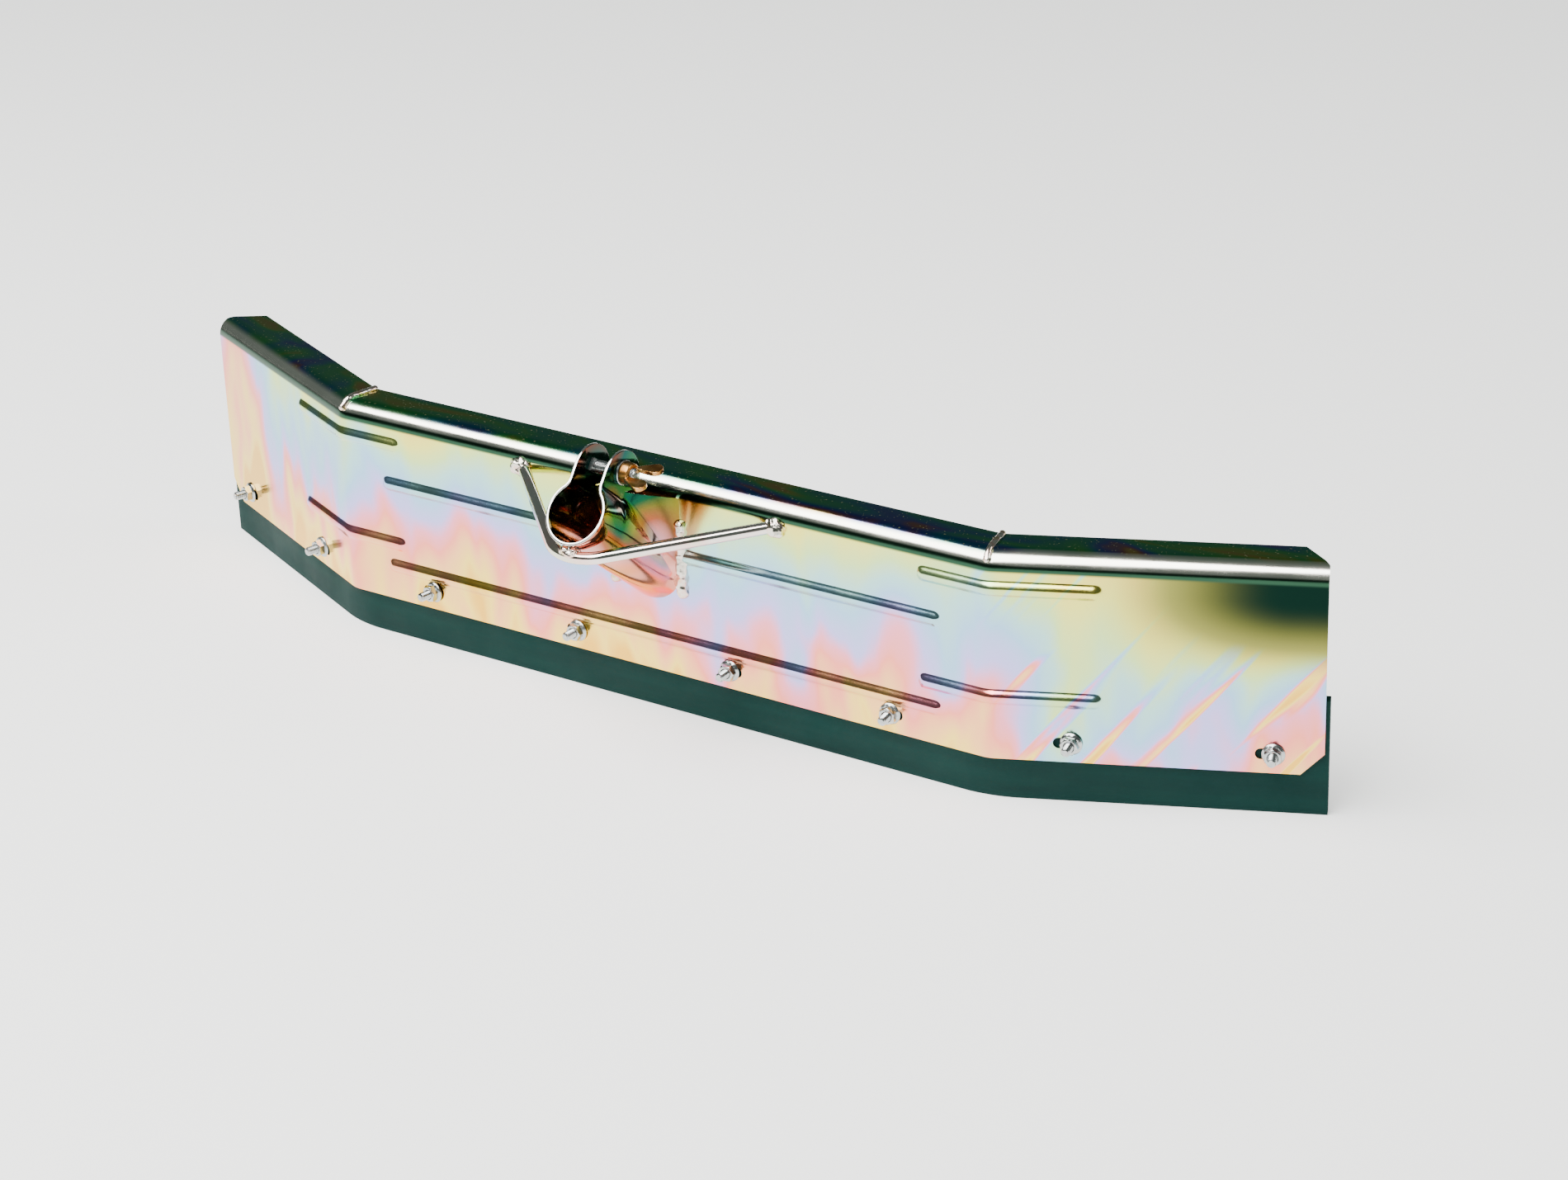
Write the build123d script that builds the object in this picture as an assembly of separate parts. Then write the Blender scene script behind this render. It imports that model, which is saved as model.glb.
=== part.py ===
"""Yard scraper head: a folded and welded steel blade with a bolted rubber lip and a pole clamp.

Row frame, in millimetres: +Z up, +X along the centre facet, -Y towards the person who holds the
pole. The origin is the middle of the lip's bottom face. The wings, the top flange and the rubber
lip lie on the +Y side of the steel, the clamp, the brace and the nuts on the -Y side.
"""
from build123d import *
from math import acos, atan2, cos, degrees, hypot, radians, sin, tan
import os

# ---- blade: one sheet, bent twice in plan and folded over along its top ----
SHEET = 2.0                # thickness of the blade's sheet
CENTRE_LEN = 500.0         # near face, from bend line to bend line
WING_LEN = 200.0           # near face, from bend line to end
WING_ANGLE = 24.0          # how far each wing is bent forwards, degrees
BLADE_H = 134.0            # height of the steel
FLANGE_DEPTH = 30.0        # near face to the flange's far edge
FOLD_R = 12.0              # outer radius of the fold between web and flange
BEND_R = 20.0              # near-face radius of the two bends in plan
CORNER_CUT = 14.0          # corner cut off the web's bottom ends
FLANGE_CUT = (15.0, 23.5)  # corner cut off the flange's ends: along the wing, and in depth

# ---- pressed ribs ----
RIB_H = 2.5                # height above the near face
RIB_R = 4.0                # radius of the rib's outer face
CENTRE_RIB_STOP = 37.0     # the centre ribs stop this far short of the bend lines
CENTRE_RIB_H = (24.0, 83.0)     # heights above the blade's bottom edge
BEND_RIB_IN = 44.0         # the bend ribs start this far inside the bend line
BEND_RIB_OUT = 64.0        # and end this far out on the wing
BEND_RIB_LOW = 40.5        # lower bend ribs, above the bottom edge
BEND_RIB_DROP = 23.0       # upper bend ribs, below the top

# ---- rubber lip ----
LIP_T = 8.0
LIP_H = 75.0
LIP_DROP = 27.0            # how far the lip hangs below the steel
LIP_OVERHANG = 2.5         # how far the lip sticks out past each end of the steel
LIP_BEND_R = 90.0          # stiff rubber takes the bends in a wider curve than the steel

# ---- lip fasteners: M6 bolts, flange nuts and wide washers ----
LIP_BOLT_COUNT = 8
LIP_BOLT_MARGIN = 30.0     # from the outer bolts to the ends of the steel
LIP_BOLT_H = 12.5          # above the blade's bottom edge
LIP_BOLT_D = 6.0
LIP_BOLT_LEN = 25.0
LIP_BOLT_CHAMFER = 0.9
LIP_HEAD_AF = 10.0
LIP_HEAD_H = 4.0
LIP_NUT_H = 6.0
LIP_NUT_FLANGE_D = 14.2
LIP_NUT_FLANGE_T = 1.4
LIP_NUT_TAPER = 20.0       # slope of the nut's flange, degrees
LIP_WASHER_D = 18.0
LIP_WASHER_T = 1.6
SLOT_W = 7.0
SLOT_LEN = 15.0
SLOT_SHIFT_WING = -3.5     # slots on the wings reach further towards the middle
SLOT_SHIFT_CENTRE = 1.5    # slots on the centre facet reach further outwards
HOLE_CLEAR = 0.2           # radial room of a bolt in a punched hole
THREAD_CLEAR = 0.05        # radial room drawn between a nut and its bolt

# ---- pole clamp: one pressed sheet, a keyhole in front, a flared skirt behind ----
CLAMP_T = 2.0
POLE_R = 19.0              # bore radius
CLAMP_TILT = 37.0          # the pole rises at this angle
CLAMP_FOOT_H = 79.5        # where the bore's axis meets the near face, above the steel's bottom
CLAMP_REACH = 88.0         # along the axis, from the near face to the front rim
CLAMP_STRAIGHT = 24.0      # length of the straight bore behind the rim
EAR_GAP = 21.0             # between the ears' inner faces
EAR_NECK_R = 8.0           # outer radius where the bore turns into the ears
NECK_RISE = 3.5            # straight stretch above the neck, behind the ears
EAR_R = 18.0               # the ears' round top
EAR_RISE = 6.0             # centre of that round top, above the neck's top
EAR_OVERLAP = 1.0          # how far the ears' outline runs down into the neck
SKIRT_FLARE = 5.0          # how much further out the skirt is at the blade than at the bore
SKIRT_DROP = 4.0           # centre of the skirt's round bottom, below the axis's foot
SKIRT_LEAN = 25.0          # part of the skirt's round bottom that the neck's curve becomes, degrees

# ---- clamp bolt: M8 carriage bolt, washer and wing nut ----
CLAMP_BOLT_D = 8.0
CLAMP_BOLT_LEN = 35.0
CLAMP_BOLT_BACK = 16.5     # behind the rim
CLAMP_BOLT_RISE = 4.0      # above the centre of the ears' round top
CLAMP_BOLT_CHAMFER = 1.1
CLAMP_HEAD_D = 18.0
CLAMP_HEAD_H = 4.5
CLAMP_HEAD_RIM = 1.0       # straight rim under the dome
NECK_SQUARE = 8.0
NECK_LEN = 4.5
WING_WASHER_D = 16.0
WING_WASHER_T = 1.6
HUB_BASE_D = 15.0
HUB_TOP_D = 13.6
HUB_H = 6.0
WING_T = 3.0
WING_ROOT_OUT = 5.0        # the wings grow from the hub at this distance from the bolt's axis
WING_ROOT = (1.0, 5.5)     # and over this stretch above the hub's base
WING_TIP_R = 4.8           # radius of a wing's round tip
WING_TIP_OUT = 9.0         # centre of that tip, from the bolt's axis
WING_TIP_UP = 17.0         # and above the hub's base
WING_CLOCK = 40.0          # where the wings stand at rest, turned back from straight up
NUT_RUN_CLEAR = 0.05       # radial running room of the wing nut and its washer on the bolt

# ---- brace rod ----
ROD_D = 8.0
ROD_BEND_R = 30.0
ROD_FOOT_X = 97.0          # where each end meets the blade
ROD_FOOT_DROP = 16.0       # the rod's ends, below the blade's top
ROD_BACK = 10.0            # where it passes under the clamp, behind the rim
ROD_SEAT = 0.3             # gap that the weld under the clamp bridges

# ---- weld beads ----
SEAM_BEAD_R = 2.4
SEAM_BEAD_START = 35.0     # where the bead starts on the fold, degrees above level
SKIRT_BEAD_R = 4.2
SKIRT_BEAD_LOW = 16.5      # its lower end, below the centre of the skirt's round bottom
SKIRT_BEAD_TOP = 19.0      # its upper end, below the skirt's top
ROD_COLLAR_R = 8.0         # weld round each end of the rod
ROD_COLLAR_H = 5.0
ROD_COLLAR_ROUND = 2.5
ROD_COLLAR_SHIFT = 1.5     # it sits a little outside the rod's axis
CLAMP_BLOB_R = 6.0         # weld between the clamp and the rod
CLAMP_BLOB_AHEAD = 2.0     # in front of the rod's axis

# ---- reach of the plain shapes that only cut ----
OVERCUT = 1.0              # past the face that a cut runs through
CUT_DEPTH = 20.0           # depth of a cut that clears all there is on that side

# ---- places that follow from the sizes above ----
HALF_TURN = tan(radians(WING_ANGLE / 2))
COS_W, SIN_W = cos(radians(WING_ANGLE)), sin(radians(WING_ANGLE))
FACE_Y = -(LIP_T / 2 + SHEET)
STEEL_Z = LIP_DROP
TOP_Z = STEEL_Z + BLADE_H
FOLD_Z = TOP_Z - FOLD_R
HALF_CENTRE = CENTRE_LEN / 2
BLADE_END = HALF_CENTRE + WING_LEN
CENTRE_RIB_END = HALF_CENTRE - CENTRE_RIB_STOP
BEND_RIB_H = (BEND_RIB_LOW, BLADE_H - BEND_RIB_DROP)
CLAMP_OR = POLE_R + CLAMP_T
NECK_X = EAR_GAP / 2 + CLAMP_T + EAR_NECK_R
NECK_U = ((CLAMP_OR + EAR_NECK_R) ** 2 - NECK_X ** 2) ** 0.5
NECK_TOP_U = NECK_U + NECK_RISE
EAR_CENTRE_U = NECK_TOP_U + EAR_RISE
CLAMP_BOLT_U = EAR_CENTRE_U + CLAMP_BOLT_RISE
SKIRT_HALF_W = CLAMP_OR + SKIRT_FLARE
SKIRT_CENTRE_H = CLAMP_FOOT_H - SKIRT_DROP
SKIRT_TOP_H = BLADE_H - FOLD_R
ROD_FOOT_H = BLADE_H - ROD_FOOT_DROP
EAR_OUT = EAR_GAP / 2 + CLAMP_T
TILT_C, TILT_S = cos(radians(CLAMP_TILT)), sin(radians(CLAMP_TILT))
AXIS_OUT = Vector(0, -TILT_C, TILT_S)      # the way the pole leaves the clamp
AXIS_UP = Vector(0, TILT_S, TILT_C)        # square to it, towards the ears
CLAMP_FOOT = Vector(0, FACE_Y, STEEL_Z + CLAMP_FOOT_H)
RIM = CLAMP_FOOT + AXIS_OUT * CLAMP_REACH
BOLT_AXIS = RIM - AXIS_OUT * CLAMP_BOLT_BACK + AXIS_UP * CLAMP_BOLT_U
LIP_BOLT_PITCH = 2 * (BLADE_END - LIP_BOLT_MARGIN) / (LIP_BOLT_COUNT - 1)
LIP_BOLT_S = [(i - (LIP_BOLT_COUNT - 1) / 2) * LIP_BOLT_PITCH for i in range(LIP_BOLT_COUNT)]


def on_blade(s, height, out=0.0):
    """Plane on the near face: s along the bent sheet from its middle, z towards the operator."""
    side = 1 if s >= 0 else -1
    past = max(0.0, abs(s) - HALF_CENTRE)
    turn_s, turn_c = (SIN_W * side, COS_W) if past else (0.0, 1.0)
    x = side * (min(abs(s), HALF_CENTRE) + past * COS_W)
    normal = Vector(turn_s, -turn_c, 0)
    origin = Vector(x, FACE_Y + past * SIN_W, height) + normal * out
    return Plane(origin=origin, x_dir=(turn_c, turn_s, 0), z_dir=normal)


def in_plan(side, depth, past):
    """Point of the plan at a depth behind the near face; past is measured from the bend line."""
    if past is None:
        return side * (HALF_CENTRE - depth * HALF_TURN), FACE_Y + depth
    x = HALF_CENTRE + past * COS_W - depth * SIN_W
    return side * x, FACE_Y + past * SIN_W + depth * COS_W


def plan_band(near, far, overhang, bend_r):
    """Plan of a bent strip between two depths; bend_r is the radius of its near face."""
    outline = []
    for depth, order in ((near, 1), (far, -1)):
        places = [(-1, WING_LEN + overhang), (-1, None), (1, None), (1, WING_LEN + overhang)]
        outline += [in_plan(side, depth, past) for side, past in places[::order]]
    band = make_face(Polyline(*outline, close=True))
    for depth, radius in ((near, bend_r), (far, bend_r - (far - near))):
        for side in (-1, 1):
            corner = Vector(*in_plan(side, depth, None), 0)
            vertex = band.vertices().sort_by(lambda v: (Vector(v) - corner).length)[0]
            band = fillet(vertex, radius)
    return band


def rod_between(start, end, radius):
    """Round bar from start to end."""
    way = end - start
    return extrude(Plane(origin=start, z_dir=way) * Circle(radius), way.length)


def capsule(points, radius):
    """Round bar through the points, with ball ends and corners."""
    shape = Pos(*points[0]) * Sphere(radius)
    for start, end in zip(points, points[1:]):
        shape += rod_between(start, end, radius)
        shape += Pos(*end) * Sphere(radius)
    return shape


# ---- blade ----

def folded_top():
    """The fold and the flange, mitred at both bends."""
    inner = FOLD_R - SHEET
    section = make_face([
        Line((0, FOLD_Z), (SHEET, FOLD_Z)),
        RadiusArc((SHEET, FOLD_Z), (FOLD_R, TOP_Z - SHEET), inner),
        Line((FOLD_R, TOP_Z - SHEET), (FLANGE_DEPTH, TOP_Z - SHEET)),
        Line((FLANGE_DEPTH, TOP_Z - SHEET), (FLANGE_DEPTH, TOP_Z)),
        Line((FLANGE_DEPTH, TOP_Z), (FOLD_R, TOP_Z)),
        RadiusArc((FOLD_R, TOP_Z), (0, FOLD_Z), -FOLD_R),
    ])
    half_turn = radians(WING_ANGLE / 2)
    mitres = {}
    for side in (-1, 1):
        bend = (side * HALF_CENTRE, FACE_Y, 0)
        mitres[side] = Plane(origin=bend, z_dir=(side * cos(half_turn), sin(half_turn), 0))
    reach = FLANGE_DEPTH * 2
    centre_plane = Plane(origin=(-HALF_CENTRE - reach, FACE_Y, 0), x_dir=(0, 1, 0), z_dir=(1, 0, 0))
    top = extrude(centre_plane * section, CENTRE_LEN + 2 * reach)
    for mitre in mitres.values():
        top = split(top, bisect_by=mitre, keep=Keep.BOTTOM)
    for side, mitre in mitres.items():
        along = Vector(side * COS_W, SIN_W, 0)
        start = Vector(side * HALF_CENTRE, FACE_Y, 0) - along * reach
        across = Vector(-side * SIN_W, COS_W, 0)
        wing_plane = Plane(origin=start, x_dir=across, z_dir=across.cross(Vector(0, 0, 1)))
        wing = extrude(wing_plane * section, side * (WING_LEN + reach))
        top += split(wing, bisect_by=mitre, keep=Keep.TOP)
    return top


def rib_lines():
    """Centre lines of the pressed ribs, as lists of points."""
    depth = RIB_R - RIB_H
    lines = []
    for height in CENTRE_RIB_H:
        ends = (-CENTRE_RIB_END, CENTRE_RIB_END)
        lines.append([on_blade(s, STEEL_Z + height, -depth).origin for s in ends])
    for side in (-1, 1):
        for height in BEND_RIB_H:
            z = STEEL_Z + height
            inner = on_blade(side * (HALF_CENTRE - BEND_RIB_IN), z, -depth).origin
            corner = Vector(*in_plan(side, depth, None), z)
            outer = on_blade(side * (HALF_CENTRE + BEND_RIB_OUT), z, -depth).origin
            lines.append([inner, corner, outer])
    return lines


def make_blade():
    web = extrude(Pos(0, 0, STEEL_Z) * plan_band(0, SHEET, 0, BEND_R), BLADE_H - FOLD_R)
    near_side = extrude(Pos(0, 0, STEEL_Z) * plan_band(-2 * RIB_H, SHEET / 2, 0, BEND_R), BLADE_H)
    for line in rib_lines():
        web += capsule(line, RIB_R) & near_side
        web -= capsule(line, RIB_R - SHEET)
    blade = web + folded_top()
    for s in LIP_BOLT_S:
        blade -= slot_cut(s)
    cut_along, cut_deep = FLANGE_CUT
    for side in (-1, 1):
        corner = on_blade(side * BLADE_END, STEEL_Z)
        over = CORNER_CUT + OVERCUT
        past = side * OVERCUT
        triangle = Polyline((-side * over, -OVERCUT), (past, -OVERCUT), (past, over), close=True)
        blade -= extrude(corner * make_face(triangle), SHEET * 2, both=True)
        start = FLANGE_DEPTH - cut_deep
        deep, out = FLANGE_DEPTH + OVERCUT, WING_LEN + OVERCUT
        outline = [in_plan(side, depth, along) for depth, along in (
            (start, WING_LEN), (FLANGE_DEPTH, WING_LEN - cut_along), (deep, WING_LEN - cut_along),
            (deep, out), (start, out))]
        corner = make_face(Polyline(*outline, close=True))
        blade -= extrude(Pos(0, 0, FOLD_Z) * corner, FOLD_R + OVERCUT)
    return blade


def slot_cut(s):
    """Slot in the web for the lip bolt at s."""
    side = 1 if s > 0 else -1
    shift = SLOT_SHIFT_WING if abs(s) > HALF_CENTRE else SLOT_SHIFT_CENTRE
    place = on_blade(s, STEEL_Z + LIP_BOLT_H)
    slot = Pos(side * shift, 0) * SlotOverall(SLOT_LEN, SLOT_W)
    return extrude(place * slot, SHEET * 2, both=True)


# ---- lip and its fasteners ----

def make_lip():
    band = plan_band(SHEET, SHEET + LIP_T, LIP_OVERHANG, LIP_BEND_R)
    lip = extrude(band, LIP_H)
    for s in LIP_BOLT_S:
        hole = on_blade(s, STEEL_Z + LIP_BOLT_H) * Circle(LIP_BOLT_D / 2 + HOLE_CLEAR)
        lip -= extrude(hole, 2 * (SHEET + LIP_T), both=True)
    return lip


def make_lip_washer(s):
    place = on_blade(s, STEEL_Z + LIP_BOLT_H, -(SHEET + LIP_T + LIP_WASHER_T))
    ring = Circle(LIP_WASHER_D / 2) - Circle(LIP_BOLT_D / 2 + HOLE_CLEAR)
    return extrude(place * ring, LIP_WASHER_T)


def make_lip_bolt(s):
    seat = SHEET + LIP_T + LIP_WASHER_T
    head = on_blade(s, STEEL_Z + LIP_BOLT_H, -seat)
    bolt = extrude(head * RegularPolygon(LIP_HEAD_AF / 2, 6, major_radius=False), -LIP_HEAD_H)
    shank = extrude(head * Circle(LIP_BOLT_D / 2), LIP_BOLT_LEN)
    tip = shank.edges().filter_by(GeomType.CIRCLE).sort_by(lambda e: (e.center() - head.origin).length)
    return bolt + chamfer(tip[-1], LIP_BOLT_CHAMFER)


def make_lip_nut(s):
    place = on_blade(s, STEEL_Z + LIP_BOLT_H)
    flange = extrude(place * Circle(LIP_NUT_FLANGE_D / 2), LIP_NUT_FLANGE_T, taper=LIP_NUT_TAPER)
    nut = flange + extrude(place * RegularPolygon(LIP_HEAD_AF / 2, 6, major_radius=False), LIP_NUT_H)
    return nut - extrude(place * Circle(LIP_BOLT_D / 2 + THREAD_CLEAR), LIP_NUT_H)


# ---- pole clamp ----

def keyhole_wall(grow, top):
    """Edges of one face of the keyhole, from the right ear down round the bore to the left."""
    ear_x, bore_r, neck_r = EAR_GAP / 2 + grow, POLE_R + grow, EAR_NECK_R + CLAMP_T - grow
    share = bore_r / (bore_r + neck_r)
    meet = Vector(NECK_X * share, NECK_U * share)
    right = [Line((ear_x, top), (ear_x, NECK_U)), RadiusArc((ear_x, NECK_U), meet, neck_r)]
    bore = ThreePointArc(meet, (0, -bore_r), (-meet.X, meet.Y))
    left = [RadiusArc((-meet.X, meet.Y), (-ear_x, NECK_U), neck_r),
            Line((-ear_x, NECK_U), (-ear_x, top))]
    return right + [bore] + left


def skirt_wall(grow, top, centre):
    """Edges of one face of the skirt's foot, in step with keyhole_wall."""
    r = SKIRT_HALF_W - CLAMP_T + grow
    lean = radians(SKIRT_LEAN)
    meet = Vector(r * cos(lean), centre - r * sin(lean))
    half = lean / 2
    right = [Line((r, top), (r, centre)),
             ThreePointArc((r, centre), (r * cos(half), centre - r * sin(half)), meet)]
    bottom = ThreePointArc(meet, (0, centre - r), (-meet.X, meet.Y))
    left = [ThreePointArc((-meet.X, meet.Y), (-r * cos(half), centre - r * sin(half)), (-r, centre)),
            Line((-r, centre), (-r, top))]
    return right + [bottom] + left


def wall_face(outer, inner):
    """Closed section between an outer and an inner wall that run the same way."""
    caps = [Line(outer[-1] @ 1, inner[-1] @ 1), Line(inner[0] @ 0, outer[0] @ 0)]
    return make_face(outer + [caps[0]] + inner[::-1] + [caps[1]])


def clamp_plane(back=0.0):
    """Plane square to the bore, behind the rim; its y points to the ears."""
    return Plane(origin=RIM - AXIS_OUT * back, x_dir=(1, 0, 0), z_dir=AXIS_OUT)


def make_clamp(ribs):
    neck = wall_face(keyhole_wall(CLAMP_T, NECK_TOP_U), keyhole_wall(0, NECK_TOP_U))
    clamp = extrude(clamp_plane(CLAMP_STRAIGHT) * neck, CLAMP_STRAIGHT)
    foot_plane = Plane(origin=(0, FACE_Y, STEEL_Z), x_dir=(1, 0, 0), z_dir=(0, -1, 0))
    foot = wall_face(skirt_wall(CLAMP_T, SKIRT_TOP_H, SKIRT_CENTRE_H),
                     skirt_wall(0, SKIRT_TOP_H, SKIRT_CENTRE_H))
    clamp += loft([clamp_plane(CLAMP_STRAIGHT) * neck, foot_plane * foot], ruled=True)
    side_plane = Plane(origin=RIM, x_dir=-AXIS_OUT, z_dir=(1, 0, 0))
    foot_u = NECK_TOP_U - EAR_OVERLAP
    tab = make_face([
        Line((0, foot_u), (0, EAR_CENTRE_U)),
        ThreePointArc((0, EAR_CENTRE_U), (EAR_R, EAR_CENTRE_U + EAR_R), (2 * EAR_R, EAR_CENTRE_U)),
        Line((2 * EAR_R, EAR_CENTRE_U), (CLAMP_STRAIGHT, foot_u)),
        Line((CLAMP_STRAIGHT, foot_u), (0, foot_u)),
    ])
    for start in (-EAR_OUT, EAR_GAP / 2):
        clamp += extrude(side_plane.offset(start) * tab, CLAMP_T)
    square = Rectangle(NECK_SQUARE + 2 * HOLE_CLEAR, NECK_SQUARE + 2 * HOLE_CLEAR)
    round_hole = Circle(CLAMP_BOLT_D / 2 + HOLE_CLEAR)
    clamp -= extrude(bolt_plane(-EAR_OUT - OVERCUT) * square, CLAMP_T + 2 * OVERCUT)
    clamp -= extrude(bolt_plane(EAR_GAP / 2 - OVERCUT) * round_hole, CLAMP_T + 2 * OVERCUT)
    for line in ribs:
        clamp -= capsule(line, RIB_R)
    return clamp


# ---- clamp bolt, washer and wing nut ----

def bolt_plane(x):
    """Plane square to the clamp bolt at x; its y points up along the ears."""
    return Plane(origin=(x, BOLT_AXIS.Y, BOLT_AXIS.Z), x_dir=AXIS_OUT * -1, z_dir=(1, 0, 0))


def make_clamp_bolt():
    seat = bolt_plane(-EAR_OUT)
    head_r, dome_h = CLAMP_HEAD_D / 2, CLAMP_HEAD_H - CLAMP_HEAD_RIM
    dome_r = (head_r ** 2 + dome_h ** 2) / (2 * dome_h)
    ball = bolt_plane(-EAR_OUT - CLAMP_HEAD_H + dome_r) * Sphere(dome_r)
    bolt = ball & extrude(seat * Circle(head_r), -CLAMP_HEAD_H - OVERCUT)
    bolt += extrude(seat * Rectangle(NECK_SQUARE, NECK_SQUARE), NECK_LEN)
    shank = extrude(seat * Circle(CLAMP_BOLT_D / 2), CLAMP_BOLT_LEN)
    ends = shank.edges().filter_by(GeomType.CIRCLE).sort_by(Axis.X)
    return bolt + chamfer(ends[-1], CLAMP_BOLT_CHAMFER)


def make_wing_washer():
    ring = Circle(WING_WASHER_D / 2) - Circle(CLAMP_BOLT_D / 2 + NUT_RUN_CLEAR)
    return extrude(bolt_plane(EAR_OUT) * ring, WING_WASHER_T)


def make_wing_nut():
    base = bolt_plane(EAR_OUT + WING_WASHER_T)
    lean = degrees(atan2((HUB_BASE_D - HUB_TOP_D) / 2, HUB_H))
    nut = extrude(base * Circle(HUB_BASE_D / 2), HUB_H, taper=lean)
    tip = Pos(WING_TIP_OUT, WING_TIP_UP) * Circle(WING_TIP_R)
    root = Line((WING_ROOT_OUT, WING_ROOT[0]), (WING_ROOT_OUT, WING_ROOT[1]))
    wing = make_hull([root] + tip.edges())
    for turn in (0, 180):
        angle = radians(WING_CLOCK + turn)
        radial = AXIS_UP * cos(angle) - AXIS_OUT * sin(angle)
        plane = Plane(origin=base.origin, x_dir=radial, z_dir=radial.cross(Vector(1, 0, 0)))
        nut += extrude(plane * wing, WING_T / 2, both=True)
    return nut - extrude(base * Circle(CLAMP_BOLT_D / 2 + NUT_RUN_CLEAR), HUB_H + WING_TIP_UP)


# ---- brace ----

def brace_points():
    """Left foot, the point where the two legs would meet, and right foot, on the rod's axis."""
    under = RIM - AXIS_OUT * ROD_BACK - AXIS_UP * (CLAMP_OR + ROD_SEAT + ROD_D / 2)
    middle = Vector(0, FACE_Y, STEEL_Z + ROD_FOOT_H)
    way = under - middle
    to_centre = way.length - ROD_BEND_R
    angle = atan2(ROD_FOOT_X, to_centre) + acos(ROD_BEND_R / hypot(ROD_FOOT_X, to_centre))
    corner = middle + way.normalized() * (to_centre - ROD_BEND_R / cos(angle))
    foot = Vector(ROD_FOOT_X, 0, 0)
    return middle - foot, corner, middle + foot


def make_brace():
    left, corner, right = brace_points()
    past = ROD_D
    left_end = left + (left - corner).normalized() * past
    right_end = right + (right - corner).normalized() * past
    path = FilletPolyline(left_end, corner, right_end, radius=ROD_BEND_R)
    start = Plane(origin=path @ 0, z_dir=path % 0)
    rod = sweep(start * Circle(ROD_D / 2), path=path)
    face = Plane(origin=(0, FACE_Y, 0), z_dir=(0, 1, 0))
    return split(rod, bisect_by=face, keep=Keep.BOTTOM)


# ---- welds ----

def make_seam_weld(side, blade):
    """Bead that closes the mitre of the flange, from its far edge over the fold."""
    half_turn = radians(WING_ANGLE / 2)
    across = Vector(-side * sin(half_turn), cos(half_turn), 0)
    stretch = 1 / cos(half_turn)
    plane = Plane(origin=(side * HALF_CENTRE, FACE_Y, 0), x_dir=across,
                  z_dir=across.cross(Vector(0, 0, 1)))
    lean = radians(SEAM_BEAD_START)
    low = (FOLD_R * stretch * (1 - cos(lean)), FOLD_Z + FOLD_R * sin(lean))
    mid_lean = (lean + radians(90)) / 2
    mid = (FOLD_R * stretch * (1 - cos(mid_lean)), FOLD_Z + FOLD_R * sin(mid_lean))
    fold_end = (FOLD_R * stretch, TOP_Z)
    far = ((FLANGE_DEPTH - SEAM_BEAD_R / 2) * stretch, TOP_Z)
    path = Wire([ThreePointArc(low, mid, fold_end), Line(fold_end, far)])
    path = plane * path
    bead = sweep(Plane(origin=path @ 0, z_dir=path % 0) * Circle(SEAM_BEAD_R), path=path)
    bead += Pos(*(path @ 0)) * Sphere(SEAM_BEAD_R) + Pos(*(path @ 1)) * Sphere(SEAM_BEAD_R)
    inner, far_in = FOLD_R - SHEET / 2, FLANGE_DEPTH + FOLD_R
    under = make_face([
        Line((SHEET / 2, FOLD_Z - FOLD_R), (SHEET / 2, FOLD_Z)),
        RadiusArc((SHEET / 2, FOLD_Z), (FOLD_R, TOP_Z - SHEET / 2), inner),
        Line((FOLD_R, TOP_Z - SHEET / 2), (far_in, TOP_Z - SHEET / 2)),
        Line((far_in, TOP_Z - SHEET / 2), (far_in, FOLD_Z - FOLD_R)),
        Line((far_in, FOLD_Z - FOLD_R), (SHEET / 2, FOLD_Z - FOLD_R)),
    ])
    return largest(bead - blade - extrude(plane * under, 3 * SEAM_BEAD_R, both=True))


def largest(shape):
    return shape.solids().sort_by(SortBy.VOLUME)[-1]


def make_skirt_weld(side, blade, clamp):
    low = STEEL_Z + SKIRT_CENTRE_H - SKIRT_BEAD_LOW
    high = STEEL_Z + SKIRT_TOP_H - SKIRT_BEAD_TOP
    x = side * SKIRT_HALF_W
    bead = capsule([Vector(x, FACE_Y, low), Vector(x, FACE_Y, high)], SKIRT_BEAD_R)
    near = Plane(origin=(0, FACE_Y, 0), z_dir=(0, 1, 0))
    bead = split(bead, bisect_by=near, keep=Keep.BOTTOM)
    face = Plane(origin=(0, FACE_Y, STEEL_Z + BLADE_H / 2), x_dir=(1, 0, 0), z_dir=(0, -1, 0))
    inner = extrude(face * Rectangle(2 * (SKIRT_HALF_W - CLAMP_T / 2), BLADE_H), CUT_DEPTH)
    return largest(bead - inner - clamp - blade)


def make_rod_weld(side, rod):
    """Collar of weld on the near face, round an end of the rod."""
    place = on_blade(side * (ROD_FOOT_X + ROD_COLLAR_SHIFT), STEEL_Z + ROD_FOOT_H)
    collar = extrude(place * Circle(ROD_COLLAR_R), ROD_COLLAR_H)
    rim = collar.edges().filter_by(GeomType.CIRCLE).sort_by(Axis.Y)[0]
    return largest(fillet(rim, ROD_COLLAR_ROUND) - rod)


def make_clamp_weld(clamp, rod):
    """Blob between the clamp's underside and the rod."""
    seat = RIM - AXIS_OUT * ROD_BACK - AXIS_UP * CLAMP_OR
    blob = Pos(*(seat + AXIS_OUT * CLAMP_BLOB_AHEAD)) * Sphere(CLAMP_BLOB_R)
    bore = extrude(clamp_plane(CLAMP_STRAIGHT) * Circle(CLAMP_OR), 2 * CLAMP_STRAIGHT)
    return largest(blob - bore - clamp - rod)


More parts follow.
